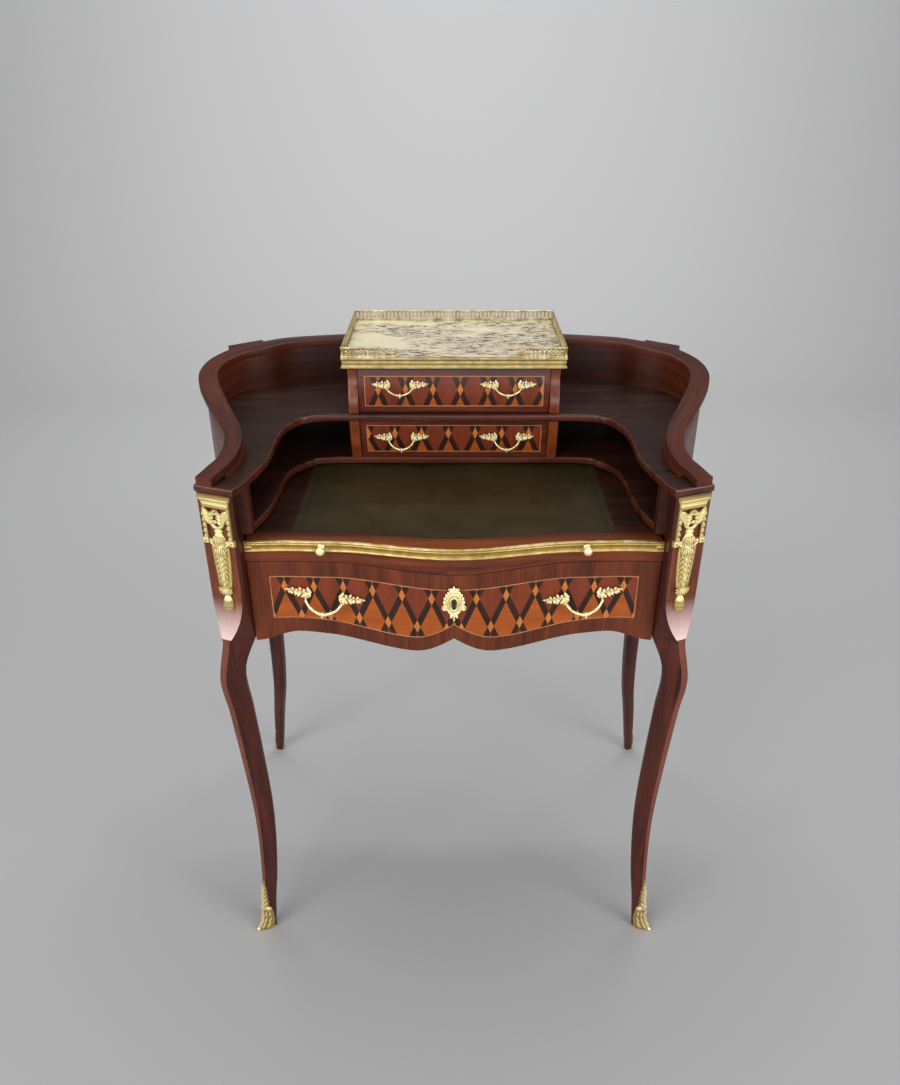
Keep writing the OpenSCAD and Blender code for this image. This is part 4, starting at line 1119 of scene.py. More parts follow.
@dataclass(frozen=True)
class Timber(Finish):
    """Polished timber with its grain along one direction."""

    name: str
    dark: tuple
    light: tuple
    grain: Grain = Grain.ALONG_X
    fine: float = 0.35
    gloss: float = 0.30
    coat: float = 0.55
    worn: float = 0.0
    strip: tuple | None = None
    change: tuple | None = None
    strip_dark: tuple = tone(82, 38, 20)
    strip_light: tuple = tone(150, 82, 46)
    # colour of the painted reflection on the lower end of a canted face
    painted_glint: tuple = tone(240, 212, 206)

    def changed(self, g: Graph, figure: Socket, colour: Socket) -> Socket:
        """Another tone beyond a place on one axis. On the writing board this paints light: a lighter front
        edge, outside the painted shade of the shelf.

        Args:
            g: The material's graph.
            figure: The timber's figure.
            colour: Colour before the change.

        Returns:
            Colour with the change.
        """
        axis, start, end, other = self.change
        there = g.span(g.parts(g.place())[axis], start, end)
        return g.blend(there, colour, g.blend(figure, shade(other, 0.5), other))

    def arris(self, g: Graph, figure: Socket, colour: Socket) -> Socket:
        """Pale strip down a leg's arris, and a painted reflection: a pale glint painted on the lower end of
        the canted face.

        Args:
            g: The material's graph.
            figure: The timber's figure.
            colour: Colour of the rest of the leg.

        Returns:
            Colour of the whole leg.
        """
        high, u = g.parts(g.place())[2], g.parts(g.place(True))[0]
        inside = g.times(g.above(u, 0.0), g.below(u, 1.0))
        low = g.times(inside, g.below(high, PLAN.tip_z + 6))
        colour = g.blend(low, colour, g.blend(figure, shade(self.strip, 0.6), self.strip))
        face = g.times(inside, g.above(high, PLAN.tip_z + 6))
        colour = g.blend(g.times(face, 0.55), colour, g.blend(figure, self.strip_dark, self.strip_light))
        # painted reflection: the canted face turns towards a pale glint colour near its lower end
        painted_glint_share = g.times(face, g.span(high, PLAN.tip_z + 74, PLAN.tip_z + 10, 0.0, 0.8))
        return g.blend(painted_glint_share, colour, self.painted_glint)

    def fill(self, g: Graph, shader: bpy.types.Node) -> None:
        """Dark and light wood by figure, darker pores, paler worn edges.

        Args:
            g: The material's graph.
            shader: The shader.
        """
        x, y, z = g.parts(g.place(self.grain is Grain.MAPPED))
        order = {Grain.ALONG_X: (x, y, z), Grain.ALONG_Z: (z, x, y)}.get(self.grain, (y, x, z))
        wood = g.use(Effects.grain(), Vector=g.joined(*order), Fine=self.fine)
        colour = g.blend(wood["Figure"], self.dark, self.light)
        if self.change:
            colour = self.changed(g, wood["Figure"], colour)
        if self.strip:
            colour = self.arris(g, wood["Figure"], colour)
        colour = g.blend(g.times(wood["Pores"], 0.45), colour, shade(self.dark, 0.35))
        if self.worn:
            wear = g.use(Effects.wear(), Vector=g.place())
            colour = g.blend(g.times(wear["Edge"], self.worn), colour, shade(self.light, 2.0))
        self.polish(g, shader, colour, wood, self.gloss, self.coat)


@dataclass(frozen=True)
class Crossbanding(Finish):
    """Strips of veneer laid side by side with their grain upright, each of its own tone."""

    name: str
    dark: tuple = tone(54, 22, 10)
    light: tuple = tone(114, 52, 23)
    strip: float = 31.0
    other: tuple = tone(70, 32, 18)
    joint: tuple = tone(30, 14, 10)

    def fill(self, g: Graph, shader: bpy.types.Node) -> None:
        """Tone by strip, grain along the mapped height.

        Args:
            g: The material's graph.
            shader: The shader.
        """
        x, y, _ = g.parts(g.place(True))
        lane = g.math("DIVIDE", x, self.strip)
        tint = g.chance(g.joined(g.math("FLOOR", lane), 5.0, 1.0))
        shift = g.times(tint, 400.0)
        wood = g.use(Effects.grain(), Vector=g.joined(g.plus(y, shift), x, shift), Fine=0.75)
        colour = g.blend(wood["Figure"], self.dark, self.light)
        colour = g.blend(g.span(tint, 0.0, 1.0, 0.0, 0.35), colour, self.other)
        joint = g.below(g.math("PINGPONG", lane, 0.5), 0.008)
        dark = g.math("MAXIMUM", g.times(wood["Pores"], 0.5), g.times(joint, 0.6))
        self.polish(g, shader, g.blend(dark, colour, self.joint), wood, 0.30, 0.15)


@dataclass(frozen=True)
class Marquetry(Finish):
    """Trellis of dark bands with light diamonds where they cross, over two woods.

    Mapped coordinates are the width from the middle and the height below the upper
    stringing.
    """

    name: str
    pitch: float = 39.3
    first_x: float = 29.5
    first_z: float = 14.0
    width: float = 8.6
    slope: float = 2.36
    fine: float = 0.7
    orange: tuple = tone(168, 84, 26)
    red: tuple = tone(122, 52, 26)
    brown: tuple = tone(110, 48, 28)
    band: tuple = tone(50, 27, 19)
    diamond: tuple = tone(190, 112, 50)
    pores: tuple = tone(40, 20, 14)

    def fill(self, g: Graph, shader: bpy.types.Node) -> None:
        """Five woods chosen by the trellis, each with its own grain direction.

        Args:
            g: The material's graph.
            shader: The shader.
        """
        x, y, _ = g.parts(g.place(True))
        laid = g.joined(g.minus(x, self.first_x), g.plus(y, self.first_z))
        net = g.use(Effects.trellis(), Vector=laid, Pitch=self.pitch, Width=self.width, Slope=self.slope)
        tint = g.times(net["Cell"], 300.0)
        upright = g.use(Effects.grain(), Vector=g.joined(g.plus(y, tint), x, tint), Fine=self.fine)
        level = g.use(Effects.grain(), Vector=g.joined(g.plus(x, tint), y, tint), Fine=self.fine)

        def wood(base: tuple, low: float, grain: bpy.types.NodeOutputs = upright) -> Socket:
            """A wood's colour between a darker and its own tone."""
            return g.blend(grain["Figure"], shade(base, low), base)

        cell = g.blend(net["Lower"], wood(self.red, 0.55), wood(self.orange, 0.6, level))
        cell = g.blend(g.span(net["Cell"], 0.0, 1.0, 0.0, 0.3), cell, self.brown)
        colour = g.blend(net["Bands"], cell, wood(self.band, 0.5))
        colour = g.blend(net["Cross"], colour, wood(self.diamond, 0.7))
        colour = g.blend(g.times(upright["Pores"], 0.4), colour, self.pores)
        self.polish(g, shader, colour, upright, 0.30, 0.15)


@dataclass(frozen=True)
class Gilding(Finish):
    """Gilt brass: burnished high parts, matt and darker recesses."""

    name: str
    bright: tuple
    dull: tuple
    recess: tuple = (0.20, 0.13, 0.035, 1.0)
    metal: float = 0.62
    matting: float = 0.25
    edge: tuple = (1.0, 0.94, 0.66, 1.0)

    def fill(self, g: Graph, shader: bpy.types.Node) -> None:
        """Tone by patches and recesses, fine matting in the bump.

        Args:
            g: The material's graph.
            shader: The shader.
        """
        place = g.place()
        wear = g.use(Effects.wear(), Vector=place)
        patch = g.noise(place, 0.09, 4.0, 0.6)
        colour = g.blend(g.span(patch, 0.3, 0.7), self.dull, self.bright)
        colour = g.blend(g.times(wear["Recess"], 0.85), colour, self.recess)
        colour = g.blend(g.times(wear["Edge"], 0.6), colour, self.edge)
        rough = g.plus(g.span(patch, 0.3, 0.7, 0.42, 0.26), g.times(wear["Recess"], 0.25))
        g.dress(shader, {"Base Color": colour, "Metallic": self.metal, "Roughness": rough},
                (self.matting, 0.0003, g.noise(place, 2.2, 3.0, 0.6)))


@dataclass(frozen=True)
class MarbleSlab(Finish):
    """Cream marble with purple-grey veins drawn out along the tray."""

    name: str = "marble_finish"
    cream: tuple = tone(214, 200, 160)
    pale: tuple = tone(236, 226, 198)
    grey: tuple = tone(112, 97, 102)
    purple: tuple = tone(44, 34, 40)
    warm: tuple = tone(206, 166, 128)

    def fill(self, g: Graph, shader: bpy.types.Node) -> None:
        """Veins where stretched noise crosses a level, thinned out by a broad noise.

        Args:
            g: The material's graph.
            shader: The shader.
        """
        place = g.place()
        x, y, z = g.parts(place)
        sway = g.noise(g.scaled(place, (0.02, 0.03, 1.0)), 1.0, 3.0)
        laid = g.scaled(g.joined(x, g.plus(y, g.times(sway, 30.0)), z), (0.055, 0.26, 0.1))
        vein = g.noise(laid, 1.0, 9.0, 0.72, 0.9)
        broad = g.noise(g.scaled(place, (0.0085, 0.016, 0.0), (0, 0, 7.4)), 1.0, 2.0)
        where = g.span(broad, 0.38, 0.49)
        colour = g.blend(g.noise(place, 0.03, 3.0), self.cream, self.pale)
        colour = g.blend(g.times(g.span(vein, 0.495, 0.525), where), colour, self.grey)
        colour = g.blend(g.times(g.span(vein, 0.535, 0.585), where), colour, self.purple)
        warm = g.times(g.span(vein, 0.46, 0.36), g.times(where, 0.5))
        colour = g.blend(warm, colour, self.warm)
        g.dress(shader, {"Base Color": colour, "Roughness": g.span(vein, 0.3, 0.7, 0.16, 0.24)},
                (0.05, 0.0002, vein))


@dataclass(frozen=True)
class Hide(Finish):
    """Dark olive leather, waxed, with a fine grain and a blind-tooled border."""

    name: str = "leather_finish"
    half_x: float = 214.0
    back_y: float = 71.5
    lines: tuple = ((9.0, 0.6), (12.5, 0.35))
    dark: tuple = tone(40, 32, 14)
    light: tuple = tone(56, 45, 21)
    wax: tuple = tone(28, 23, 11)
    pressed: tuple = tone(22, 18, 9)

    def fill(self, g: Graph, shader: bpy.types.Node) -> None:
        """Cells for the grain, soft patches for the wax and two pressed lines near the edge.

        Args:
            g: The material's graph.
            shader: The shader.
        """
        place = g.place()
        x, y, _ = g.parts(place)
        cells = g.node("TexVoronoi", {"Vector": place, "Scale": 0.9}, feature="DISTANCE_TO_EDGE").outputs[0]
        patch = g.noise(place, 0.012, 4.0, 0.6)
        near = g.math("MINIMUM", g.minus(self.half_x, g.math("ABSOLUTE", x)), g.minus(self.back_y, y))
        line = g.math("MAXIMUM", *(g.below(g.math("ABSOLUTE", g.minus(near, at)), half)
                                   for at, half in self.lines))
        colour = g.blend(g.span(patch, 0.3, 0.7), self.dark, self.light)
        colour = g.blend(g.times(g.noise(place, 0.4, 4.0, 0.6), 0.3), colour, self.wax)
        colour = g.blend(g.times(line, 0.7), colour, self.pressed)
        values = {"Base Color": colour, "Roughness": g.span(patch, 0.3, 0.7, 0.36, 0.50),
                  "Specular IOR Level": 0.25}
        g.dress(shader, values, (0.35, 0.0004, g.minus(g.times(cells, 0.5), g.times(line, 1.5))))


@dataclass(frozen=True)
class Steel(Finish):
    """Filed steel of the lock and the fixings."""

    name: str = "steel_finish"
    colour: tuple = (0.36, 0.35, 0.33, 1.0)
    stain: tuple = (0.16, 0.13, 0.10, 1.0)

    def fill(self, g: Graph, shader: bpy.types.Node) -> None:
        """File marks along x and a little tarnish.

        Args:
            g: The material's graph.
            shader: The shader.
        """
        marks = g.noise(g.scaled(g.place(), (0.2, 1.0, 3.0)), 1.0, 3.0)
        colour = g.blend(g.span(g.noise(g.place(), 0.15, 4.0), 0.4, 0.7), self.colour, self.stain)
        rough = g.span(marks, 0.3, 0.7, 0.32, 0.5)
        g.dress(shader, {"Base Color": colour, "Metallic": 1.0, "Roughness": rough}, (0.2, 0.0002, marks))


@dataclass(frozen=True)
class Shadow(Finish):
    """Painted shade: a nearly black sheet that stands for the shade inside the keyhole."""

    name: str = "keyhole_painted_shade"
    dark: tuple = (0.004, 0.003, 0.002, 1.0)
    dusty: tuple = (0.012, 0.009, 0.006, 1.0)

    def fill(self, g: Graph, shader: bpy.types.Node) -> None:
        """Nearly black painted shade, with a little dust."""
        dust = g.noise(g.place(), 0.6, 3.0)
        g.feed(shader.inputs["Base Color"], g.blend(dust, self.dark, self.dusty))
        g.feed(shader.inputs["Roughness"], g.span(dust, 0.3, 0.7, 0.6, 0.8))


GILT = Gilding("gilt_brass_finish", (1.0, 0.90, 0.54, 1.0), (0.92, 0.75, 0.36, 1.0))
MOUNT_GILT = Gilding("mount_gilt_finish", (1.0, 0.91, 0.46, 1.0), (0.98, 0.82, 0.34, 1.0),
                     (0.24, 0.15, 0.04, 1.0), 0.25)
MOUNT_GROUND = Gilding("mount_ground_finish", (0.86, 0.66, 0.22, 1.0), (0.66, 0.48, 0.13, 1.0),
                       (0.12, 0.07, 0.02, 1.0), 0.35)
SHOE_GILT = Gilding("shoe_gilt_finish", (1.0, 0.84, 0.44, 1.0), (0.80, 0.60, 0.24, 1.0),
                    (0.14, 0.08, 0.02, 1.0), 0.75)
DEEP = Gilding("deep_gilt_finish", (0.46, 0.33, 0.11, 1.0), (0.28, 0.20, 0.06, 1.0), (0.06, 0.035, 0.01, 1.0))
BRASS = Gilding("brass_finish", (0.62, 0.42, 0.12, 1.0), (0.34, 0.22, 0.06, 1.0),
                (0.04, 0.025, 0.006, 1.0), 0.85)
TRAY_BRASS = Gilding("tray_brass_finish", (0.56, 0.43, 0.17, 1.0), (0.30, 0.22, 0.08, 1.0),
                     (0.03, 0.02, 0.006, 1.0), 0.85)
BOLT_BRASS = Gilding("bolt_brass_finish", (0.78, 0.60, 0.28, 1.0), (0.5, 0.36, 0.15, 1.0))
CAP_WOOD = Timber("cap_mahogany", tone(40, 16, 9), tone(88, 37, 20), Grain.MAPPED, 0.30, 0.34, 0.1, 0.35)
# the legs' canted faces carry a painted reflection near their lower ends
LEG_WOOD = Timber("leg_mahogany", tone(34, 13, 10), tone(84, 34, 22), Grain.ALONG_Z, 0.30, 0.32, 0.15, 0.35,
                  strip=tone(122, 66, 50))
WALL_WOOD = Timber("wall_mahogany", tone(42, 17, 9), tone(98, 44, 24), Grain.MAPPED, 0.28, 0.30, 0.2, 0.2,
                   change=(1, 80, 200, tone(40, 15, 7)))
BACK_WOOD = Timber("back_mahogany", tone(36, 15, 9), tone(84, 37, 21), Grain.MAPPED, 0.25, 0.28, 0.3)
SHELF_WOOD = Timber("shelf_mahogany", tone(22, 10, 7), tone(54, 26, 16), Grain.ALONG_X, 0.22, 0.36, 0.1)
# mahogany for the edges of the shelf and the floor, lighter than their tops: a painted highlight along the
# edge
LIT_RIM_WOOD = Timber("rim_mahogany_painted_highlight", tone(42, 17, 10), tone(92, 42, 25), Grain.ALONG_X, 0.25, 0.26, 0.4)
# painted shade: the writing board is darkened as if in the shelf's shadow, and turns lighter towards its
# front edge, painted light where it comes out of that shadow
SHADED_BOARD_WOOD = Timber("board_mahogany_painted_shade", tone(22, 9, 5), tone(56, 24, 12), Grain.ALONG_X, 0.30, 0.34, 0.1,
                    change=(1, -185, -216, tone(132, 66, 28)))
STILE_WOOD = Timber("stile_mahogany", tone(84, 38, 24), tone(136, 72, 48), Grain.ALONG_Z, 0.5, 0.3, 0.5)
CHEEK_WOOD = Timber("cheek_mahogany", tone(76, 33, 13), tone(140, 66, 24), Grain.ALONG_Y, 0.6, 0.3, 0.3)
EDGE_WOOD = Timber("edge_mahogany", tone(50, 19, 12), tone(108, 46, 26), Grain.ALONG_X, 0.5, 0.3, 0.3)
OAK = Timber("oak_finish", tone(128, 94, 58), tone(168, 130, 86), Grain.ALONG_Y, 0.6, 0.5, 0.05)
BLOCK_WOOD = Timber("block_wood_finish", tone(36, 13, 7), tone(70, 30, 15), Grain.ALONG_Z, 0.5, 0.45, 0.0)
BOXWOOD = Timber("boxwood_finish", tone(134, 84, 52), tone(184, 130, 86), Grain.ALONG_X, 0.6, 0.3, 0.2)
BANDING = Crossbanding("crossbanding_finish")
RAIL_BANDING = Crossbanding("rail_finish", tone(52, 22, 12), tone(118, 54, 28), 47.0)
MAIN_TRELLIS = Marquetry("main_marquetry_finish")
UPPER_TRELLIS = Marquetry("upper_marquetry_finish", 40.2, 9.4, 19.0)
LOWER_TRELLIS = Marquetry("lower_marquetry_finish", 40.2, -8.5, 12.3)
MARBLE, LEATHER, STEEL, KEYHOLE_SHADE = MarbleSlab(), Hide(), Steel(), Shadow()


# Sub-assemblies

@dataclass
class Legs:
    """Four cabriole legs: posts and stiles above, an arris strip and soft corners below."""

    bends: int = 5
    round_post: float = 1.4
    round_leg: float = 8.0
    sharp_corners: tuple = (0.18, 0.18, 1, 1, 1, 1)
    body: Body = Body.CASE

    def heights(self, top: float) -> np.ndarray:
        """Heights of the rings, closer together where the section changes."""
        tip = PLAN.tip_z
        return np.concatenate([np.linspace(3, tip - 50, 56), np.linspace(tip - 46, tip, 14),
                               np.linspace(tip + 4, tip + 84, 22), np.linspace(tip + 100, top, 10)])

    def rings(self, z: np.ndarray, rear: bool) -> tuple[np.ndarray, np.ndarray]:
        """Sections with rounded corners, each a quadratic arc between points near its corner.

        Args:
            z: Heights of the sections.
            rear: Whether the leg is a rear one.

        Returns:
            The plan points, and the mapped coordinate of the columns in corners.
        """
        p = PLAN.corners(z, rear)
        below = smooth((PLAN.tip_z - z) / 60)[:, None]
        size = mix(self.round_post, self.round_leg, below) * np.array([self.sharp_corners])
        size = np.maximum(size, 0.8)

        def toward(step: int) -> np.ndarray:
            """Point near each corner on the way to a neighbour."""
            way = np.roll(p, step, 1) - p
            share = np.minimum(size / np.maximum(np.linalg.norm(way, axis=-1), 1e-6), 0.46)
            return (p + way * share[..., None])[:, :, None]

        t = np.linspace(0, 1, self.bends)[None, None, :, None]
        arc = toward(1) * (1 - t) ** 2 + p[:, :, None] * 2 * t * (1 - t) + toward(-1) * t ** 2
        columns = (np.arange(6)[:, None] + np.linspace(-0.15, 0.15, self.bends)[None]).ravel()
        return arc.reshape(len(z), -1, 2), np.append(columns, 5.85)

    def leg(self, rear: bool) -> Shell:
        """One leg on the right.

        Args:
            rear: Whether it is a rear one.

        Returns:
            The leg, drawn in at the foot for the shoe.
        """
        z = self.heights(PLAN.z_cap_back - PLAN.cap_t if rear else PLAN.z_shelf)
        plan, columns = self.rings(z, rear)
        mid = plan.mean(1, keepdims=True)
        plan = mid + (plan - mid) * (1 - 0.12 * np.clip(1 - z / 34, 0, 1))[:, None, None]
        tall = z[:, None]
        if rear:
            tall = np.minimum(tall, PLAN.cap_z(plan[..., 1]) - PLAN.cap_t)
        return Shell().loft(raised(plan, tall), u=columns, v=z)

    def build(self) -> None:
        """Make the four legs."""
        for rear, where in ((False, "front"), (True, "rear")):
            self.leg(rear).pair(f"cabriole_leg_{where}", self.body, f"leg_{where}", "mahogany", LEG_WOOD,
                                sharp=30)


@dataclass
class Sabots:
    """Gilt shoes: a cup with a rolled rim, a serrated leaf up the arris and a flared toe."""

    cup: float = 52.0
    height: float = 118.0
    toe: float = 36.0
    thick: float = 2.2
    teeth: int = 6
    rows: int = 54
    cols: int = 37
    foot_z: float = 3.0
    front_tip: tuple = (334.0, -222.0)
    rear_tip: tuple = (373.5, 247.3)
    cup_rows: tuple = ((4, 22, 9.0), (17, 36, 8.0), (31, 50, 7.0))
    cup_places: tuple = (-0.72, -0.36, 0.0, 0.36, 0.72)
    body: Body = Body.CASE

    def share(self, z: np.ndarray) -> np.ndarray:
        """How far the shoe reaches round the leg, toothed above the cup.

        Args:
            z: Heights.

        Returns:
            Shares of the way from the arris to the next corner.
        """
        t = np.clip((z - self.cup) / (self.height - self.cup), 0, 1)
        plain = mix(0.04, 0.5, (1 - t) ** 1.2)
        tooth = 1 - 0.30 * np.mod(t * self.teeth, 1.0) * (t > 0)
        low = np.clip(z / self.cup, 0, 1)
        swell = 0.40 + 0.34 * np.sin(np.pi * np.clip(0.12 + 0.80 * low, 0, 1)) - 0.06 * np.mod(low * 5, 1.0)
        return np.where(z <= self.cup, swell, 0.8 * plain * tooth)

    def relief(self, z: np.ndarray, s: np.ndarray) -> np.ndarray:
        """Height of the ornament: leafage as cosines, a rib and a rim as bell curves.

        Args:
            z: Heights.
            s: Places across the skin, from -1 to 1.

        Returns:
            How far each point stands out.
        """
        t = np.clip((z - self.cup) / (self.height - self.cup), 0, 1)[:, None]
        rim = np.exp(-((z - self.cup) / 2.6) ** 2)[:, None]
        rib = np.exp(-(s[None] / 0.09) ** 2)
        vein = 0.5 + 0.5 * np.cos(2 * np.pi * (self.teeth * t - 2.1 * np.abs(s)[None] * 0.6))
        lobes = (0.5 + 0.5 * np.cos(2 * np.pi * 2.5 * s))[None]
        swell = np.sin(np.pi * np.clip(z / self.cup, 0, 1))[:, None] ** 0.5
        leafy = np.where(t > 0, 0.9 * vein + 1.3 * rib, 0)
        cupped = np.where(t > 0, 0, 0.5 * lobes * swell + 0.6 * rib)
        fade = 1 - np.abs(s)[None] ** 6 * (t > 0)
        stand = (self.thick * 0.5 + 0.4 * leafy + 0.4 * cupped + 1.1 * rim) * np.maximum(fade, 0.4)
        return stand * np.clip((self.height - z) / 6, 0.2, 1)[:, None]

    def shoe(self, rear: bool) -> Shell:
        """Relief over the outer faces of the foot, closed by an inner skin.

        Args:
            rear: Whether the foot is a rear one.

        Returns:
            The shoe with its leaves.
        """
        z = np.concatenate([np.linspace(0, self.cup - 8, 22), np.linspace(self.cup - 7, self.cup + 4, 14),
                            np.linspace(self.cup + 5, self.height, self.rows)])
        p = PLAN.corners(np.maximum(z, self.foot_z), rear)
        share = self.share(z)[:, None]
        ends = (mix(p[:, 0], p[:, 5], share), p[:, 0], p[:, 1], mix(p[:, 1], p[:, 2], share))
        middle = (p[:, 0] + p[:, 1]) / 2
        point = (0.86 * np.clip((z / self.height - 0.78) / 0.22, 0, 1) ** 1.4)[:, None]
        path = np.stack([mix(end, middle, point) for end in ends], 1)
        s = np.linspace(-1, 1, self.cols)
        knots = np.array([-1, -0.22, 0.22, 1])
        skin = np.stack([np.stack([np.interp(s, knots, row[:, k]) for k in (0, 1)], -1) for row in path])
        away = unit(skin - p.mean(1)[:, None])
        tip = np.array(self.rear_tip if rear else self.front_tip)
        foot = PLAN.corners(np.array([self.foot_z]), rear)[0][:2].mean(0)
        reach = tip - foot - unit(tip - foot) * 0.3
        flare = np.maximum(1 - z / self.toe, 0)[:, None, None] ** 1.7
        shift = flare * reach * np.cos(np.pi / 2 * s)[None, :, None] ** 1.6
        outer = skin + away * self.relief(z, s)[..., None] + shift
        inner = skin - away * 0.4
        ring = np.concatenate([outer, inner[:, ::-1]], 1)
        shell = Shell().loft(raised(ring, z[:, None]), paint=1)
        return shell.join(self.leaves(z, s, outer, away))

    def leaves(self, z: np.ndarray, s: np.ndarray, outer: np.ndarray, away: np.ndarray) -> Shell:
        """Small leaves laid over the shoe: three rows on the cup, a chain up the arris and beads.

        Args:
            z: Heights of the skin's rows.
            s: Places across the skin, from -1 to 1.
            outer: Plan points of the skin.
            away: Outward directions at those points.

        Returns:
            The leaves.
        """
        def at(high: float, across: float) -> tuple[np.ndarray, np.ndarray]:
            """Point of the skin and the direction outwards there."""
            i, j = int(np.argmin(np.abs(z - high))), int(np.argmin(np.abs(s - across)))
            return np.array([*outer[i, j], z[i]]), np.array([*away[i, j], 0.0])

        shell = Shell()
        for low, high, size in self.cup_rows:
            for across in self.cup_places:
                a, out = at(low, across * 0.8)
                b, _ = at(high - 5 * abs(across), across)
                shell.leaf(a, b + out * 0.6, out, size * 0.62, 1.6, 1.8, 2, 9, 9, 0.9)
        for k in range(6):
            low = 48 + 9.5 * k
            a, out = at(low, 0.0)
            b, _ = at(min(low + 15, self.height - 1), 0.0)
            shell.leaf(a, b, out, mix(6.4, 3.2, k / 5), 1.5, 1.7, 0, 8, 8, 0.7)
            for across in (-0.6, 0.6):
                b, _ = at(min(low + 9, self.height - 2), across)
                shell.leaf(a, b, out, mix(4.6, 2.4, k / 5), 1.3, 1.4, 0, 7, 7, 0.7)
        a, out = at(5.0, 0.0)
        return shell.bead(a + out * 0.2, 3.4, 12, 9, 1.2)

    def sole(self, rear: bool) -> Shell:
        """Thin sole that closes the foot from below.

        Args:
            rear: Whether the foot is a rear one.

        Returns:
            The sole.
        """
        p = PLAN.corners(np.array([self.foot_z]), rear)[0]
        return plate(mix(p.mean(0), p, 0.86), 0.0, self.foot_z, 0.6, 0.4, paint=1)

    def scrolls(self, rear: bool) -> Shell:
        """A small scroll at each end of the cup's rim.

        Args:
            rear: Whether the foot is a rear one.

        Returns:
            Both scrolls.
        """
        p = PLAN.corners(np.array([self.cup + 1.0]), rear)[0]
        shell = Shell()
        for a, b, hand in ((p[5], p[0], 1), (p[2], p[1], -1)):
            out = unit(np.array([-(b - a)[1], (b - a)[0]]))
            out = out if out @ (a - p.mean(0)) > 0 else -out
            spot = mix(a, b, 0.70) + out * 1.4
            shell.join(volute((*spot, self.cup - 1.0), 4.4, 1.4, (*out, 0.0), -60, 1.5, hand))
        return shell

    def build(self) -> None:
        """Make the four shoes."""
        for rear, where in ((False, "front"), (True, "rear")):
            shell = self.shoe(rear).join(self.sole(rear)).join(self.scrolls(rear))
            shell.pair(f"gilt_shoe_{where}", self.body, f"sabot_{where}", "gilt_brass", SHOE_GILT, DEEP,
                       sharp=45)


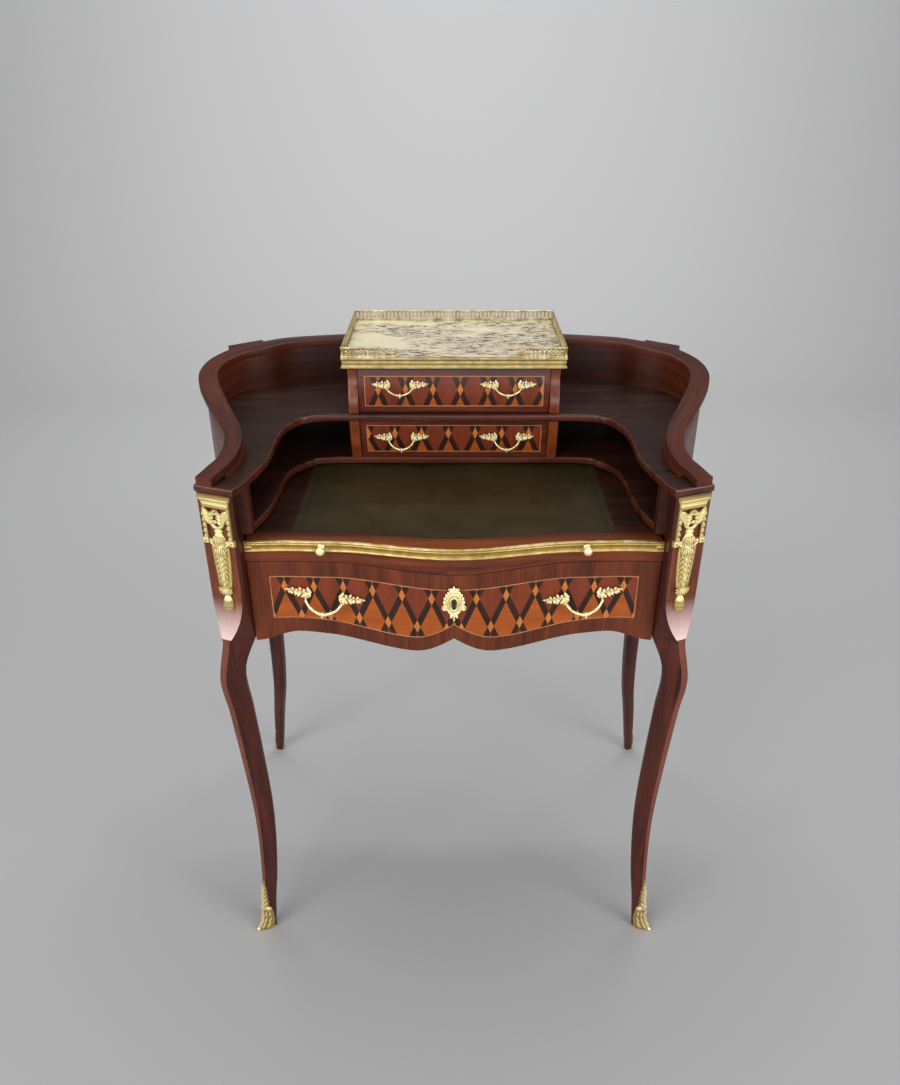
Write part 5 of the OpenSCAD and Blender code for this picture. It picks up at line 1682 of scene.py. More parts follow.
@dataclass
class Gallery:
    """Curved walls and the capping that rises and widens from the front ends to the back."""

    side_edge_z: float = 604.0
    side_arch: float = 12.0
    back_edge_z: float = 610.0
    edge: float = 1.2
    lip: float = 1.5
    cap_round: float = 2.0
    up: tuple = (0.0, 0.06, 0.2, 0.5, 0.8, 0.94, 1.0)
    body: Body = Body.CASE

    def side_low(self, y: np.ndarray) -> np.ndarray:
        """Shaped lower edge of a side wall: a squared sine between post and stile."""
        t = np.clip((y - PLAN.front_y - 40) / (PLAN.stile_o[1] - PLAN.front_y - 70), 0, 1)
        return self.side_edge_z + self.side_arch * np.sin(np.pi * t) ** 2

    def wall(self, line: np.ndarray, low: Callable | float) -> Shell:
        """A wall along a plan line, up into the capping.

        Args:
            line: Plan points of its inner side.
            low: Height of its lower edge, or a function of the depth that gives it.

        Returns:
            The wall.
        """
        t, e = PLAN.wall_t, self.edge
        w = np.array([0, 0, 0, 0, 0, 0, t - e, t, t, t, t, t, t, e])
        share = np.array([0.004, 0.1, 0.3, 0.6, 0.85, 1.0, 1.0, 0.99, 0.85, 0.6, 0.3, 0.1, 0.004, 0.0])
        plan = line[:, None] + normals_of(line)[:, None] * w[None, :, None]
        top = PLAN.cap_z(plan[..., 1]) - PLAN.cap_t + 0.2
        bottom = low(plan[..., 1]) if callable(low) else low
        return Shell().loft(raised(plan, mix(bottom, top, share[None])), v=run_of(line))

    def lining(self, line: np.ndarray, reach: np.ndarray) -> Shell:
        """Thin veneer that carries the inside of the gallery across a rear stile.

        Args:
            line: Plan points of the inner line.
            reach: Distances of those points from the back's middle, for the figure.

        Returns:
            The veneer.
        """
        up = np.array(self.up)
        plan = line[:, None] + normals_of(line)[:, None] * np.repeat([-0.5, 0.4], len(up))[None, :, None]
        top = PLAN.cap_z(plan[..., 1]) - PLAN.cap_t + 0.3
        tall = mix(PLAN.z_shelf_top - 1.0, top, np.concatenate([up, up[::-1]])[None])
        u = np.concatenate([up, 2 - up[::-1], [2.0]]) * (PLAN.z_cap_back - PLAN.z_shelf_top)
        return Shell().loft(raised(plan, tall), u=u, v=reach, paint=1)

    def capping(self) -> Shell:
        """Capping drawn along the whole inner line.

        Returns:
            The capping, its edges rounded by quarter circles.
        """
        half = PLAN.inner_half(16)
        line = np.vstack([flipped(half), half[1:]])
        turn = np.linspace(0, math.pi / 2, 5)
        r, t = self.cap_round, PLAN.cap_t
        across = np.concatenate([r * (1 - np.sin(turn)), np.zeros(1), r * 0.5 * (1 - np.cos(turn))])
        down = np.concatenate([-r * (1 - np.cos(turn)), [-t * 0.5], -t + r * 0.5 * (1 - np.sin(turn))])
        near = np.broadcast_to(across[None], (len(line), len(across)))
        d = np.concatenate([near, PLAN.cap_w(line[:, 1])[:, None] - across[::-1][None]], 1)
        plan = line[:, None] + normals_of(line)[:, None] * d[..., None]
        tall = PLAN.cap_z(plan[..., 1]) + np.concatenate([down, down[::-1]])[None]
        return Shell().loft(raised(plan, tall), v=run_of(line))

    def ear(self) -> Shell:
        """Square pad over a rear stile, flush with the capping.

        Returns:
            The pad, a hair under the capping's top.
        """
        w, d = PLAN.stile_w / 2, PLAN.stile_d
        corner = PLAN.stile_at(np.array([-w, w, w, -w]), np.array([-self.lip, -self.lip, d - 8, d - 8]))
        return plate(corner, -PLAN.cap_t, 0.0, 1.6, 0.8).moved(
            lambda p: raised(p[:, :2], p[:, 2] + PLAN.cap_z(p[:, 1]) - 0.15))

    def build(self) -> None:
        """Make the two side walls, the back and the capping."""
        half = PLAN.inner_half(14)
        reach = run_of(half)
        split = int(np.argmax(half[:, 0] > PLAN.stile_o[0] - 16))
        end = int(np.sum(PLAN.post_depth(half) > PLAN.post_d - 4))
        side = half[split - 3:end]
        wall = self.wall(side, self.side_low).join(self.lining(side, reach[split - 3:end]))
        wall.pair("curved_wall", self.body, "side_wall", "mahogany", WALL_WOOD, WALL_WOOD)
        near, there = half[:split - 2], reach[:split - 2]
        lining = self.lining(np.vstack([flipped(near), near[1:]]), np.concatenate([there[::-1], there[1:]]))
        back = self.wall(np.vstack([flipped(half[:split]), half[1:split]]), self.back_edge_z).join(lining)
        back.piece("curved_back", self.body, "back_panel", "dark_mahogany", BACK_WOOD, WALL_WOOD)
        ear = self.ear()
        self.capping().join(ear).join(ear.mirrored()).piece(
            "moulded_capping", self.body, "gallery_cap", "mahogany", CAP_WOOD)


@dataclass
class Compartments:
    """Upper shelf, compartment floor and the rail over the main drawer."""

    arm: float = 33.0
    lip: float = 1.5
    rail_d: float = 44.0
    bevel: float = 0.8
    mortise_w: float = 19.2
    mortise_d: float = 8.2
    mortise_h: float = 9.5
    mortise_set: float = 7.0
    body: Body = Body.CASE

    def kept(self) -> np.ndarray:
        """Inner line without the stretch of the front post, from front to back.

        Returns:
            The line, drawn into the wall a little.
        """
        half = PLAN.inner_half(12)
        grown = half + normals_of(half) * 0.4
        return grown[PLAN.post_depth(half) > PLAN.post_d][::-1]

    def shelf(self) -> np.ndarray:
        """Outline of the upper shelf.

        Returns:
            The outline, with two arms that swell towards the posts.
        """
        a, c, f = PLAN.neck_x - self.arm, PLAN.cabinet_y, PLAN.front_y
        edge = curve([[0, c - 8], [a - 64, c - 8], [a - 26, c - 18], [a - 12, c - 36], [a - 3, c - 61],
                      [a, c - 91], [a, f + 95], [a + 5, f + 64], [a + 12, f + 33], [a + 18, f + 9],
                      PLAN.post_at(-29, -self.lip)], 10)
        ends = PLAN.post_at(np.array([PLAN.cant_w / 2 + self.lip, PLAN.cant_w / 2 - 1, -14]),
                            np.array([-self.lip, PLAN.post_d, PLAN.post_d]))
        return whole(np.vstack([edge, ends, self.kept()]))

    def floor(self) -> np.ndarray:
        """Outline of the compartment floor.

        Returns:
            The outline, which ends behind the front posts.
        """
        a, c, f = PLAN.neck_x - self.arm, PLAN.cabinet_y, PLAN.front_y
        edge = curve([[0, c + 9], [a - 59, c + 9], [a - 26, c - 5], [a - 12, c - 21], [a - 1, c - 43],
                      [a + 2, c - 73], [a + 4.5, f + 116], [a + 7, f + 93], [a + 11, f + 73],
                      [a + 19, f + 45], [a + 29, f + 18]], 10)
        edge = edge[edge[:, 1] > PLAN.post_at(-12, PLAN.post_d)[1]]
        return whole(np.vstack([edge, self.kept()]))

    def rail(self) -> Shell:
        """Serpentine rail whose lower edge follows the drawer's dip.

        Returns:
            The rail in three lengths, the middle one with the bolt's mortise.
        """
        shell = Shell()
        half, b = self.mortise_w / 2, self.bevel
        middle = PLAN.front_end_y - PLAN.bow + MainDrawer.veneer + MainDrawer.front_t + self.mortise_set
        for start, end, count in ((-PLAN.post_x, -half, 58), (-half, half, 9), (half, PLAN.post_x, 58)):
            x = np.linspace(start, end, count)
            front = PLAN.face_y(x)
            low, high = PLAN.top_z(x) + PLAN.gap, np.full_like(x, PLAN.z_rail + PLAN.rail_t)
            back = np.full_like(x, PLAN.front_end_y + self.rail_d - PLAN.bow)
            y, z = [back, back], [high, low]
            if abs(start) == end:
                y += [np.full_like(x, middle + side * self.mortise_d / 2) for side in (1, 1, -1, -1)]
                top = np.full_like(x, PLAN.top_z(np.zeros(1))[0] + self.mortise_h)
                z += [low, top, top, low]
            y = np.stack(y + [front + b, front, front, front, front + b], 1)
            z = np.stack(z + [low, low + b, (low + high) / 2, high - b, high], 1)
            rings = np.stack(np.broadcast_arrays(x[:, None], y, z), -1)
            shell.loft(rings, u=np.concatenate([z[0], z[0][:1]]), v=x)
        return shell

    def build(self) -> None:
        """Make the shelf, the floor and the rail."""
        # the edge faces take the lighter rim tone, a painted highlight
        woods = (SHELF_WOOD, LIT_RIM_WOOD)
        plate(self.shelf(), PLAN.z_shelf, PLAN.z_shelf_top, 2.4, 3.4, rim=1).piece(
            "swept_shelf", self.body, "upper_shelf", "dark_mahogany", *woods)
        plate(self.floor(), PLAN.z_floor, PLAN.z_floor + PLAN.floor_t, 2.2, 1.6, rim=1).piece(
            "swept_floor", self.body, "floor_board", "dark_mahogany", *woods)
        self.rail().piece("serpentine_rail", self.body, "front_rail", "mahogany", RAIL_BANDING)


@dataclass
class SmallCabinet:
    """Ogee sides, cheeks below the shelf and two veneered drawer fronts."""

    half_x: float = 155.5
    side_t: float = 14.5
    set_back: float = 5.0
    front_t: float = 13.0
    edge: float = 9.0
    string: float = 1.3
    steps: int = 40
    body: Body = Body.CASE

    @property
    def small_x(self) -> float:
        """Half width of a small drawer."""
        return self.half_x - self.side_t - PLAN.gap

    def standing(self, low: float, high: float, front: Callable) -> Shell:
        """A side board that reaches back to the gallery.

        Args:
            low: Its underside.
            high: Its top.
            front: Function of its height's share that gives its front edge.

        Returns:
            The board on the right.
        """
        half = PLAN.inner_half(12)[:60]
        back = float(np.interp(self.half_x, half[:, 0], half[:, 1])) - 0.2
        t = np.linspace(0, 1, self.steps + 1)
        line = np.stack([PLAN.cabinet_y + front(t), mix(low, high, t)], 1)
        outline = np.vstack([line, [[back, high], [back, low]]])
        return plate(outline, self.half_x - self.side_t, self.half_x, 1.4, 0.8, order=(2, 0, 1))

    def front(self, upper: bool, t: np.ndarray) -> np.ndarray:
        """Line of a small drawer's front: hollowed above, swept forward at the foot below.

        Args:
            upper: Whether it is the upper drawer.
            t: Shares of its height.

        Returns:
            Its depths there.
        """
        if upper:
            return PLAN.cabinet_y + self.set_back - 2.5 * np.sin(np.pi * t)
        return PLAN.cabinet_y + self.set_back - 2 + 9 * (1 - t) ** 1.5

    def reach(self, upper: bool) -> tuple[float, float]:
        """Lowest height and height of a small drawer's front.

        Args:
            upper: Whether it is the upper drawer.

        Returns:
            Both heights.
        """
        if upper:
            return PLAN.z_shelf_top + PLAN.gap / 2, PLAN.z_cap_back - PLAN.z_shelf_top - PLAN.gap
        return PLAN.z_floor + PLAN.floor_t + PLAN.gap / 2, PLAN.lower_h - PLAN.gap

    def core(self, upper: bool) -> Shell:
        """Drawer front with softened edges, as a board standing across the desk.

        Args:
            upper: Whether it is the upper drawer.

        Returns:
            The board.
        """
        z0, h = self.reach(upper)
        t = np.linspace(0, 1, self.steps + 1)
        y = self.front(upper, t)
        back = np.array([[y[-1] + self.front_t, z0 + h], [y[0] + self.front_t, z0]])
        outline = np.vstack([np.stack([y, z0 + h * t], 1), back])
        return plate(outline, -self.small_x, self.small_x, 0.7, order=(2, 0, 1))

    def panel(self, upper: bool) -> Shell:
        """Marquetry sheet, edged with a light string, a hair proud of the front.

        Args:
            upper: Whether it is the upper drawer.

        Returns:
            The sheet.
        """
        z0, h = self.reach(upper)
        wide, lo, hi = self.small_x - self.edge, self.edge / h, 1 - self.edge / h
        s, string = self.string / h, self.string

        def sheet(x0: float, x1: float, t0: float, t1: float, paint: int = 1) -> Shell:
            """A curved sheet between two widths and two heights."""
            t = np.linspace(t0, t1, 25)
            y, z = self.front(upper, t), z0 + h * t
            x = np.linspace(x0, x1, 5)[:, None]
            y, z = np.concatenate([y - 0.12, y[::-1] + 0.5]), np.concatenate([z, z[::-1]])
            rings = np.stack(np.broadcast_arrays(x, y[None], z[None]), -1)
            v = np.append(z, z[0]) - (z0 + h * hi - string)
            return Shell().loft(rings, *np.broadcast_arrays(x, v[None]), paint=paint)

        shell = sheet(-wide + string, wide - string, lo + s, hi - s, 0)
        shell.join(sheet(-wide, wide, lo, lo + s)).join(sheet(-wide, wide, hi - s, hi))
        for x0 in (-wide, wide - string):
            shell.join(sheet(x0, x0 + string, lo + s, hi - s))
        return shell

    def build(self) -> None:
        """Make the sides, the cheeks and the two fronts with their panels."""
        side = self.standing(PLAN.z_shelf_top, PLAN.z_cap_back, lambda t: -3 * np.sin(2 * np.pi * t) + 6 * t)
        cheek = self.standing(PLAN.z_floor + PLAN.floor_t, PLAN.z_shelf, lambda t: -3 + 12 * (1 - t) ** 1.5)
        for s in Side:
            side.on(s).piece(f"ogee_side_{s.label}", self.body, f"cabinet_side_{s.label}", "mahogany",
                             STILE_WOOD)
            cheek.on(s).piece(f"swept_cheek_{s.label}", self.body, f"cheek_{s.label}", "mahogany", CHEEK_WOOD)
        for upper, body, trellis in ((True, Body.UPPER, UPPER_TRELLIS), (False, Body.LOWER, LOWER_TRELLIS)):
            name = "upper" if upper else "lower"
            self.core(upper).piece(f"{name}_front_board", body, f"{name}_drawer_front", "mahogany", EDGE_WOOD)
            self.panel(upper).piece(f"{name}_marquetry_sheet", body, f"{name}_drawer_marquetry", "marquetry",
                                    trellis, BOXWOOD)


@dataclass
class Tray:
    """Brass of the marble top: a fluted band with mitred corners and a pierced gallery."""

    half_x: float = 160.0
    front: float = -4.0
    depth: float = 208.0
    band_t: float = 5.0
    pitch: float = 6.2
    bar: float = 2.7
    inset: float = 0.5
    return_x: float = 106.0
    swoop: float = 20.0
    flute: float = 3.0
    steps: tuple = (0, 0.03, 0.14, 0.17, 0.24, 0.30, 0.33, 0.40, 0.5, 0.60, 0.67, 0.70, 0.77, 0.83, 0.86,
                    0.97, 1)
    depths: tuple = (0.5, 0, 0, 0.5, 0.5, 0.9, 1.5, 1.5, 1.5, 1.5, 1.5, 0.9, 0.5, 0.5, 0, 0, 0.5)
    bulbs: tuple = ((2.1, 0), (2.1, 0.06), (1.1, 0.14), (1.9, 0.24), (2.2, 0.32), (1.7, 0.40), (1.0, 0.5),
                    (1.9, 0.6), (2.2, 0.68), (1.5, 0.78), (1.1, 0.9), (2.1, 1.0))
    post: tuple = ((1.9, 0), (1.9, 1), (1.5, 2), (1.5, 12), (1.9, 13), (1.9, 14.5), (1.2, 15))
    body: Body = Body.CASE

    def band(self) -> Shell:
        """The band as a profile carried round the tray, fluted by a cosine along its middle.

        Returns:
            The band as a closed ring.
        """
        share, depth = np.array(self.steps, float), np.array(self.depths)
        corners = np.array([[-1, -1], [1, -1], [1, 1], [-1, 1]], float)
        mid, size = np.array([0, self.front + self.depth / 2]), np.array([self.half_x, self.depth / 2])
        spots, outs, runs = [], [], []
        for here, after in zip(corners, np.roll(corners, -1, 0)):
            a, b = mid + here * size, mid + after * size
            flutes = int(float(np.linalg.norm(b - a)) / self.flute)
            t = np.linspace(0, 1, flutes * 4, endpoint=False)[:, None]
            push = np.tile((here + after) / 2, (flutes * 4, 1))
            push[0] = here
            spots.append(a + (b - a) * t)
            outs.append(push)
            runs.append(t[:, 0] * flutes * self.flute)
        spot, out, run = np.vstack(spots), np.vstack(outs), np.concatenate(runs)
        middle = np.clip(1 - np.abs(share - 0.5) / 0.17, 0, 1) ** 0.3
        wave = 0.35 * middle[None] * (0.5 + 0.5 * np.cos(2 * np.pi * run[:, None] / self.flute))
        d = np.concatenate([depth[None] - wave, np.full((len(run), 2), self.band_t)], 1)
        z = np.concatenate([mix(PLAN.z_marble, PLAN.z_tray, share), [PLAN.z_tray, PLAN.z_marble]])
        return Shell().loft(raised(spot[:, None] - out[:, None] * d[..., None], z), ends=Ends.LOOP)

    def return_z(self, x: np.ndarray) -> np.ndarray:
        """Underside of the front rail, which sinks smoothly at its inner end."""
        top = PLAN.z_tray + PLAN.tray_rail_h - self.bar
        return top - (PLAN.tray_rail_h - 2.5 * self.bar) * smooth((self.return_x - x) / self.swoop)

    def baluster(self, x: float, y: float, height: float) -> Shell:
        """Small turned baluster with two bulbs."""
        return turned(np.array(self.bulbs) * [1, height], (x, y, PLAN.z_tray), cols=7)

    def rail(self, *points: Points) -> Shell:
        """Rounded rail along a path: a circle whose sine and cosine are raised to a power.

        Args:
            points: Points of the path.

        Returns:
            The rail.
        """
        path = np.array(points)
        side, up = bend(path)
        a = full_turn(12)
        wide, tall = (self.bar / 2 * np.sign(v) * np.abs(v) ** 0.6 for v in (np.cos(a), np.sin(a)))
        return Shell().loft(path[:, None] + wide[None, :, None] * side[:, None]
                            + tall[None, :, None] * up[:, None])

    def gallery(self) -> Shell:
        """Rails, balusters and the front returns with their scrolls.

        Returns:
            The gallery.
        """
        r = self.bar / 2
        x1, y0 = self.half_x - self.inset - r, self.front + self.inset + r
        y1 = self.front + self.depth - self.inset - r
        low, high = PLAN.z_tray + r, PLAN.z_tray + PLAN.tray_rail_h - r
        start = self.return_x - self.swoop
        shell, half = Shell(), Shell()
        for z in (low, high):
            shell.join(self.rail([-x1 - r, y1, z], [0, y1, z], [x1 + r, y1, z]))
            half.join(self.rail([x1, y0 - r, z], [x1, (y0 + y1) / 2, z], [x1, y1 + r, z]))
        xs = np.linspace(start, self.return_x, 14)
        swept = np.stack([xs, np.full_like(xs, y0), self.return_z(xs) + r], 1)
        half.join(self.rail(*swept, [x1 + r, y0, high]))
        half.join(self.rail([start - 2, y0, low], [start + 30, y0, low], [x1 + r, y0, low]))
        half.join(volute((start - 1.0, y0, low + 1.6), 2.6, 1.3, (0, -1, 0), 90, 1.1, -1))
        for x in np.arange(x1 - self.pitch, self.return_x - self.swoop * 0.6, -self.pitch):
            half.join(self.baluster(x, y0, float(self.return_z(np.array([x]))[0]) - PLAN.z_tray))
        tall = PLAN.tray_rail_h - self.bar
        for y in np.linspace(y0, y1, int((y1 - y0) / self.pitch) + 1)[1:-1]:
            half.join(self.baluster(x1, y, tall))
        for y in (y0 + 0.3, y1 - 0.3):
            half.join(turned(self.post, (x1 - 0.3, y, PLAN.z_tray), cols=12))
        shell.join(half).join(half.mirrored())
        for x in np.linspace(-x1, x1, int(2 * x1 / self.pitch) + 1)[1:-1]:
            shell.join(self.baluster(x, y1, tall))
        return shell

    def build(self) -> None:
        """Make the band and the gallery."""
        self.band().piece("fluted_tray_band", self.body, "tray_band", "gilt_brass", TRAY_BRASS, sharp=40)
        self.gallery().piece("pierced_tray_gallery", self.body, "tray_gallery", "gilt_brass", TRAY_BRASS,
                             sharp=50)


@dataclass
class Handle:
    """Cast pull: two pointed sprays of leaves joined by a slim fluted arc with a collar."""

    length: float = 109.0
    drop: float = 19.0
    bar: float = 1.75
    stand_off: float = 15.0
    large: float = 109.0
    collar: tuple = ((0, 4.6), (1.0, 4.0), (1.0, 3.2), (0, 2.6), (0.5, 1.8), (1.7, 0.9))

    @property
    def k(self) -> float:
        """Size of the leaves against those of the large pull."""
        return self.length / self.large

    def spray(self) -> Shell:
        """The right-hand spray: leaves in pairs along a stem, a point outwards and a scroll inwards.

        Returns:
            The spray.
        """
        k, l = self.k, self.length
        face = np.array([0.0, -1.0, 0.0])

        def stem(t: float, lift: float = 0.0) -> np.ndarray:
            """Point of the stem, which rises slightly outwards."""
            return np.array([l * mix(0.205, 0.46, t), -1.2 - lift, l * mix(-0.005, 0.012, t)])

        along = unit(stem(1) - stem(0))
        up = np.array([-along[2], 0, along[0]])
        shell = tube(np.array([stem(t, 0.2) for t in np.linspace(0, 1, 8)]), np.linspace(1.6, 0.7, 8) * k, 8)
        for i in range(6):
            t = i / 6
            reach = k * mix(10.6, 5.4, t) * (1.0 if i % 2 == 0 else 0.82)
            for hand in (1, -1):
                a = math.radians(mix(74, 36, t) + 4 * hand) * hand
                base = stem(t, 0.4 * k)
                way = along * math.cos(a) + up * math.sin(a)
                tip = base + way * reach + face * k * (2.6 if i % 2 else 1.2)
                shell.leaf(base, tip, face, k * mix(4.4, 3.2, t), 1.6 * k, 2.1 * k, 0, 9, 8, 0.8, 0.70)
                if i % 2 == 0:
                    a -= hand * math.radians(26)
                    base = stem(t + 0.05, 1.8 * k)
                    tip = base + (along * math.cos(a) + up * math.sin(a)) * reach * 0.52 + face * 2.6 * k
                    shell.leaf(base, tip, face, 3.4 * k, 1.6 * k, 2.0 * k, 0, 8, 8, 0.8, 0.66)
        for t in 0.04 + 0.23 * np.arange(4):
            shell.leaf(stem(t, 2.4 * k), stem(t + 0.2, 4.2 * k), face, k * mix(3.6, 2.6, t), 1.4 * k, 2.0 * k,
                       0, 8, 8, 0.8, 0.66)
        shell.leaf(stem(0.9, 0.8 * k), stem(1.15, 0.6 * k), face, 3.0 * k, 0.9 * k, 1.5 * k, 0, 8, 8)
        root = stem(-0.02)
        for hand in (1, -1):
            spot = root + up * hand * 3.0 * k - along * 1.2 * k + face * 1.4 * k
            shell.join(volute(spot, 2.8 * k, 1.2, face, 90 * hand, 1.2 * k, -hand))
        return shell.bead(root - along * 1.0 * k + face * 3.0 * k, 2.1 * k, 10, 8)

    def arc(self) -> Shell:
        """The arc: out of the scrolls, forward and down to a collar with a bead under it.

        Returns:
            The arc.
        """
        l, d, k, b, out = self.length, self.drop, self.k, self.bar, -self.stand_off
        low, half = -0.03 * l, 0.225 * l
        right = np.array([[half - 0.5 * k, -2.0, low + 2.5 * k], [half, -8.0, low + 0.5],
                          [half - 1.5 * k, out + 1, low - d * 0.12], [half * 0.74, out, low - d * 0.52],
                          [half * 0.40, out, low - d * 0.86], [0, out, low - d]])
        path = curve(np.vstack([right, (right * [-1, 1, 1])[::-1][1:]]), 9)
        t = np.abs(np.linspace(-1, 1, len(path)))
        r = b * (0.86 + 0.40 * (1 - t) ** 1.5 + 0.3 * np.exp(-((t - 0.93) / 0.07) ** 2))
        shell = tube(path, r, 14, twist=0.42, flutes=5, depth=0.16)
        ring = np.array(self.collar) * [1, -k] + [b, 0]
        shell.join(turned(np.vstack([ring, (ring * [1, -1])[::-1]]), (0, out, low - d), "x", 20, 10, 0.12))
        return shell.bead((0, out, low - d - b - 2.4 * k), 1.7 * k, 12, 9, 1.4)

    def shell(self, deep: float) -> Shell:
        """The whole pull, in its own frame: x along it, y into the drawer.

        Args:
            deep: How far its stalks go back.

        Returns:
            The pull.
        """
        spray = self.spray()
        shell = self.arc().join(spray).join(spray.mirrored())
        for s in (-1, 1):
            shell.join(turned([(1.9, 0), (1.9, deep)], (s * self.length * 0.36, -1.0, 0), "y", 14))
        return shell


@dataclass
class MainDrawer:
    """Serpentine drawer front: crossbanding, string and trellis, with its gilt fittings."""

    band_w: float = 22.0
    panel_x: float = 245.0
    string: float = 1.4
    veneer: float = 1.0
    front_t: float = 17.0
    pull_x: float = 172.0
    pull_z: float = 672.5
    tilt: float = 8.0
    key_z: float = 674.0
    key_narrow: float = 0.84
    crest: tuple = ((-6, 9.5), (14, 9.5), (33, 9), (50, 8.5), (66, 8.5), (80, 8.0))
    bud: tuple = ((0.4, -26.6), (1.6, -25.4), (2.2, -23.6), (1.4, -21.6), (2.2, -20.2), (1.8, -17))
    body: Body = Body.DRAWER
    pull: Handle = field(default_factory=Handle)

    def around(self, less: float | None) -> np.ndarray:
        """Outline of the front, or of the panel drawn in by less, all round from the lower left.

        Args:
            less: None for the front itself, else how far inside the panel's outline.

        Returns:
            Points (x, z), the same number for every outline.
        """
        half = PLAN.end_x if less is None else self.panel_x - less
        low = 0 if less is None else self.band_w + less
        x = np.linspace(-1, 1, 161) * half
        zl, zh = (PLAN.edge_z(x) if less is None else self.under(x)) + low, PLAN.top_z(x) - low
        up = np.linspace(0, 1, 14)[1:-1]
        right = np.stack([np.full_like(up, half), mix(zl[-1], zh[-1], up)], 1)
        left = np.stack([np.full_like(up, -half), mix(zh[0], zl[0], up)], 1)
        return np.vstack([np.stack([x, zl], 1), right, np.stack([x, zh], 1)[::-1], left])

    def under(self, x: np.ndarray) -> np.ndarray:
        """Lower edge of the panel, level where the front's own edge sinks to its ends."""
        return PLAN.edge_z(np.minimum(np.abs(x), PLAN.arch_x))

    def frame_ring(self, inside: np.ndarray, outside: np.ndarray, cols: int, soft: float) -> Shell:
        """Veneer between two outlines, laid on the serpentine face.

        Args:
            inside: Inner outline.
            outside: Outer outline.
            cols: Points across it.
            soft: Rounding of its outer edge.

        Returns:
            The veneer as a closed ring.
        """
        t = np.linspace(0, 1, cols)
        xz = mix(inside[:, None], outside[:, None], t[None, :, None])
        y = PLAN.face_y(xz[..., 0]) + np.where(t > 0.999, soft, 0)[None]
        front = np.stack([xz[..., 0], y, xz[..., 1]], -1)
        back = front[:, [-1, 0]].copy()
        back[..., 1] = PLAN.face_y(back[..., 0]) + self.veneer
        rings = np.concatenate([front, back], 1)
        maps = np.pad(rings, ((0, 1), (0, 1), (0, 0)), "wrap")
        return Shell().loft(rings, u=maps[..., 0], v=maps[..., 2], ends=Ends.LOOP)

    def trellis(self) -> Shell:
        """Marquetry sheet, mapped by width and by height below the upper string.

        Returns:
            The sheet.
        """
        half, less = self.panel_x - self.string, self.band_w + self.string
        x = np.linspace(-half, half, 165)
        low, high = self.under(x) + less, PLAN.top_z(x) - less
        z = mix(low[:, None], high[:, None], np.linspace(0, 1, 9)[None])
        z = np.concatenate([z, z[:, ::-1]], 1)
        y = PLAN.face_y(x)[:, None] + np.repeat([0, self.veneer], 9)[None]
        v = np.concatenate([z, z[:, :1]], 1) - high[:, None]
        u = np.broadcast_to(np.abs(x)[:, None], v.shape)
        return Shell().loft(np.stack(np.broadcast_arrays(x[:, None], y, z), -1), u=u, v=v)

    def pull_place(self) -> Callable:
        """Where the pull sits on the right of the drawer.

        Returns:
            Function that moves points of the pull's own frame there.
        """
        reach = self.pull.length * 0.365
        ends = PLAN.face_y(np.array([self.pull_x - reach, self.pull_x + reach]))
        turn = math.atan2(ends[1] - ends[0], 2 * reach)
        matrix = np.array(Matrix.Rotation(turn, 3, "Z") @ Matrix.Rotation(-math.radians(self.tilt), 3, "Y"))
        return lambda p: p @ matrix.T + [self.pull_x, ends.mean(), self.pull_z]

    def keyplate(self) -> Shell:
        """Escutcheon: an oval frame with beads, a crest of leaves, side curls and a bud below.

        Returns:
            The escutcheon in its place.
        """
        face, stand = (0, -1, 0), dict(order=(0, 2, 1))

        def oval(rx: float, rz: float, lift: float, count: int = 48) -> np.ndarray:
            """Points of an oval standing off the face."""
            a = full_turn(count)
            return np.stack([rx * np.cos(a), np.full_like(a, -lift), rz * np.sin(a)], 1)

        shell = plate(oval(11.6, 15.6, 0)[:, [0, 2]], -1.8, 0.6, 0.1, 0.8, paint=2, **stand)
        shell.join(tube(oval(11.8, 15.8, 2.0), 2.0, 10, closed=True, twist=1.3, flutes=3, depth=0.12))
        shell.join(tube(oval(6.4, 9.6, 2.2), 1.0, 8, closed=True))
        for spot in oval(8.9, 12.4, 2.2, 30):
            shell.bead(spot, 0.95, 7, 5)
        for s in (-1, 1):
            for angle, size in self.crest:
                a = math.radians(angle)
                root = np.array([s * 12.6 * math.cos(a), -2.2, 16.6 * math.sin(a)])
                way = np.array([s * mix(0.45, -0.1, angle / 90), -0.1, 1.0])
                shell.leaf(root, root + unit(way) * size, face, 5.4, 2.2, 1.9, 2, 9, 10, 0.8)
            shell.join(volute((s * 15.0, -1.8, -5.0), 4.3, 1.4, face, 90 + 90 * s, 1.6, s))
            shell.join(volute((s * 4.4, -2.2, 22.8), 3.4, 1.3, face, 90 - 60 * s, 1.4, -s))
            shell.leaf((s * 3.0, -2, -15.5), (s * 6.2, -2.4, -21.5), face, 4.4, 1.8, 1.6, 0, 8, 8)
        shell.leaf((0, -2.4, 18.0), (0, -2.8, 29.0), face, 6.4, 2.2, 2.0, 3, 9, 10, 0.6)
        shell.bead((0, -3.6, 20.0), 2.4, 10, 8, 1.2)
        shell.join(turned(self.bud, (0, -2.2, 0), cols=12))
        # the keyhole is a nearly black sheet of painted shade, not a hole
        a = np.linspace(-0.8, math.pi + 0.8, 20)
        hole = np.vstack([np.stack([3.9 * np.cos(a), 3.9 * np.sin(a) + 3.6], 1), [[-2.5, -8.2], [2.5, -8.2]]])
        shell.join(plate(hole, -2.05, 0.5, 0.05, 0.05, steps=1, **stand), 1)
        middle = [0, PLAN.face_y(np.zeros(1))[0], self.key_z - 2]
        return shell.moved(lambda p: p * [self.key_narrow, 1, 1] + middle)

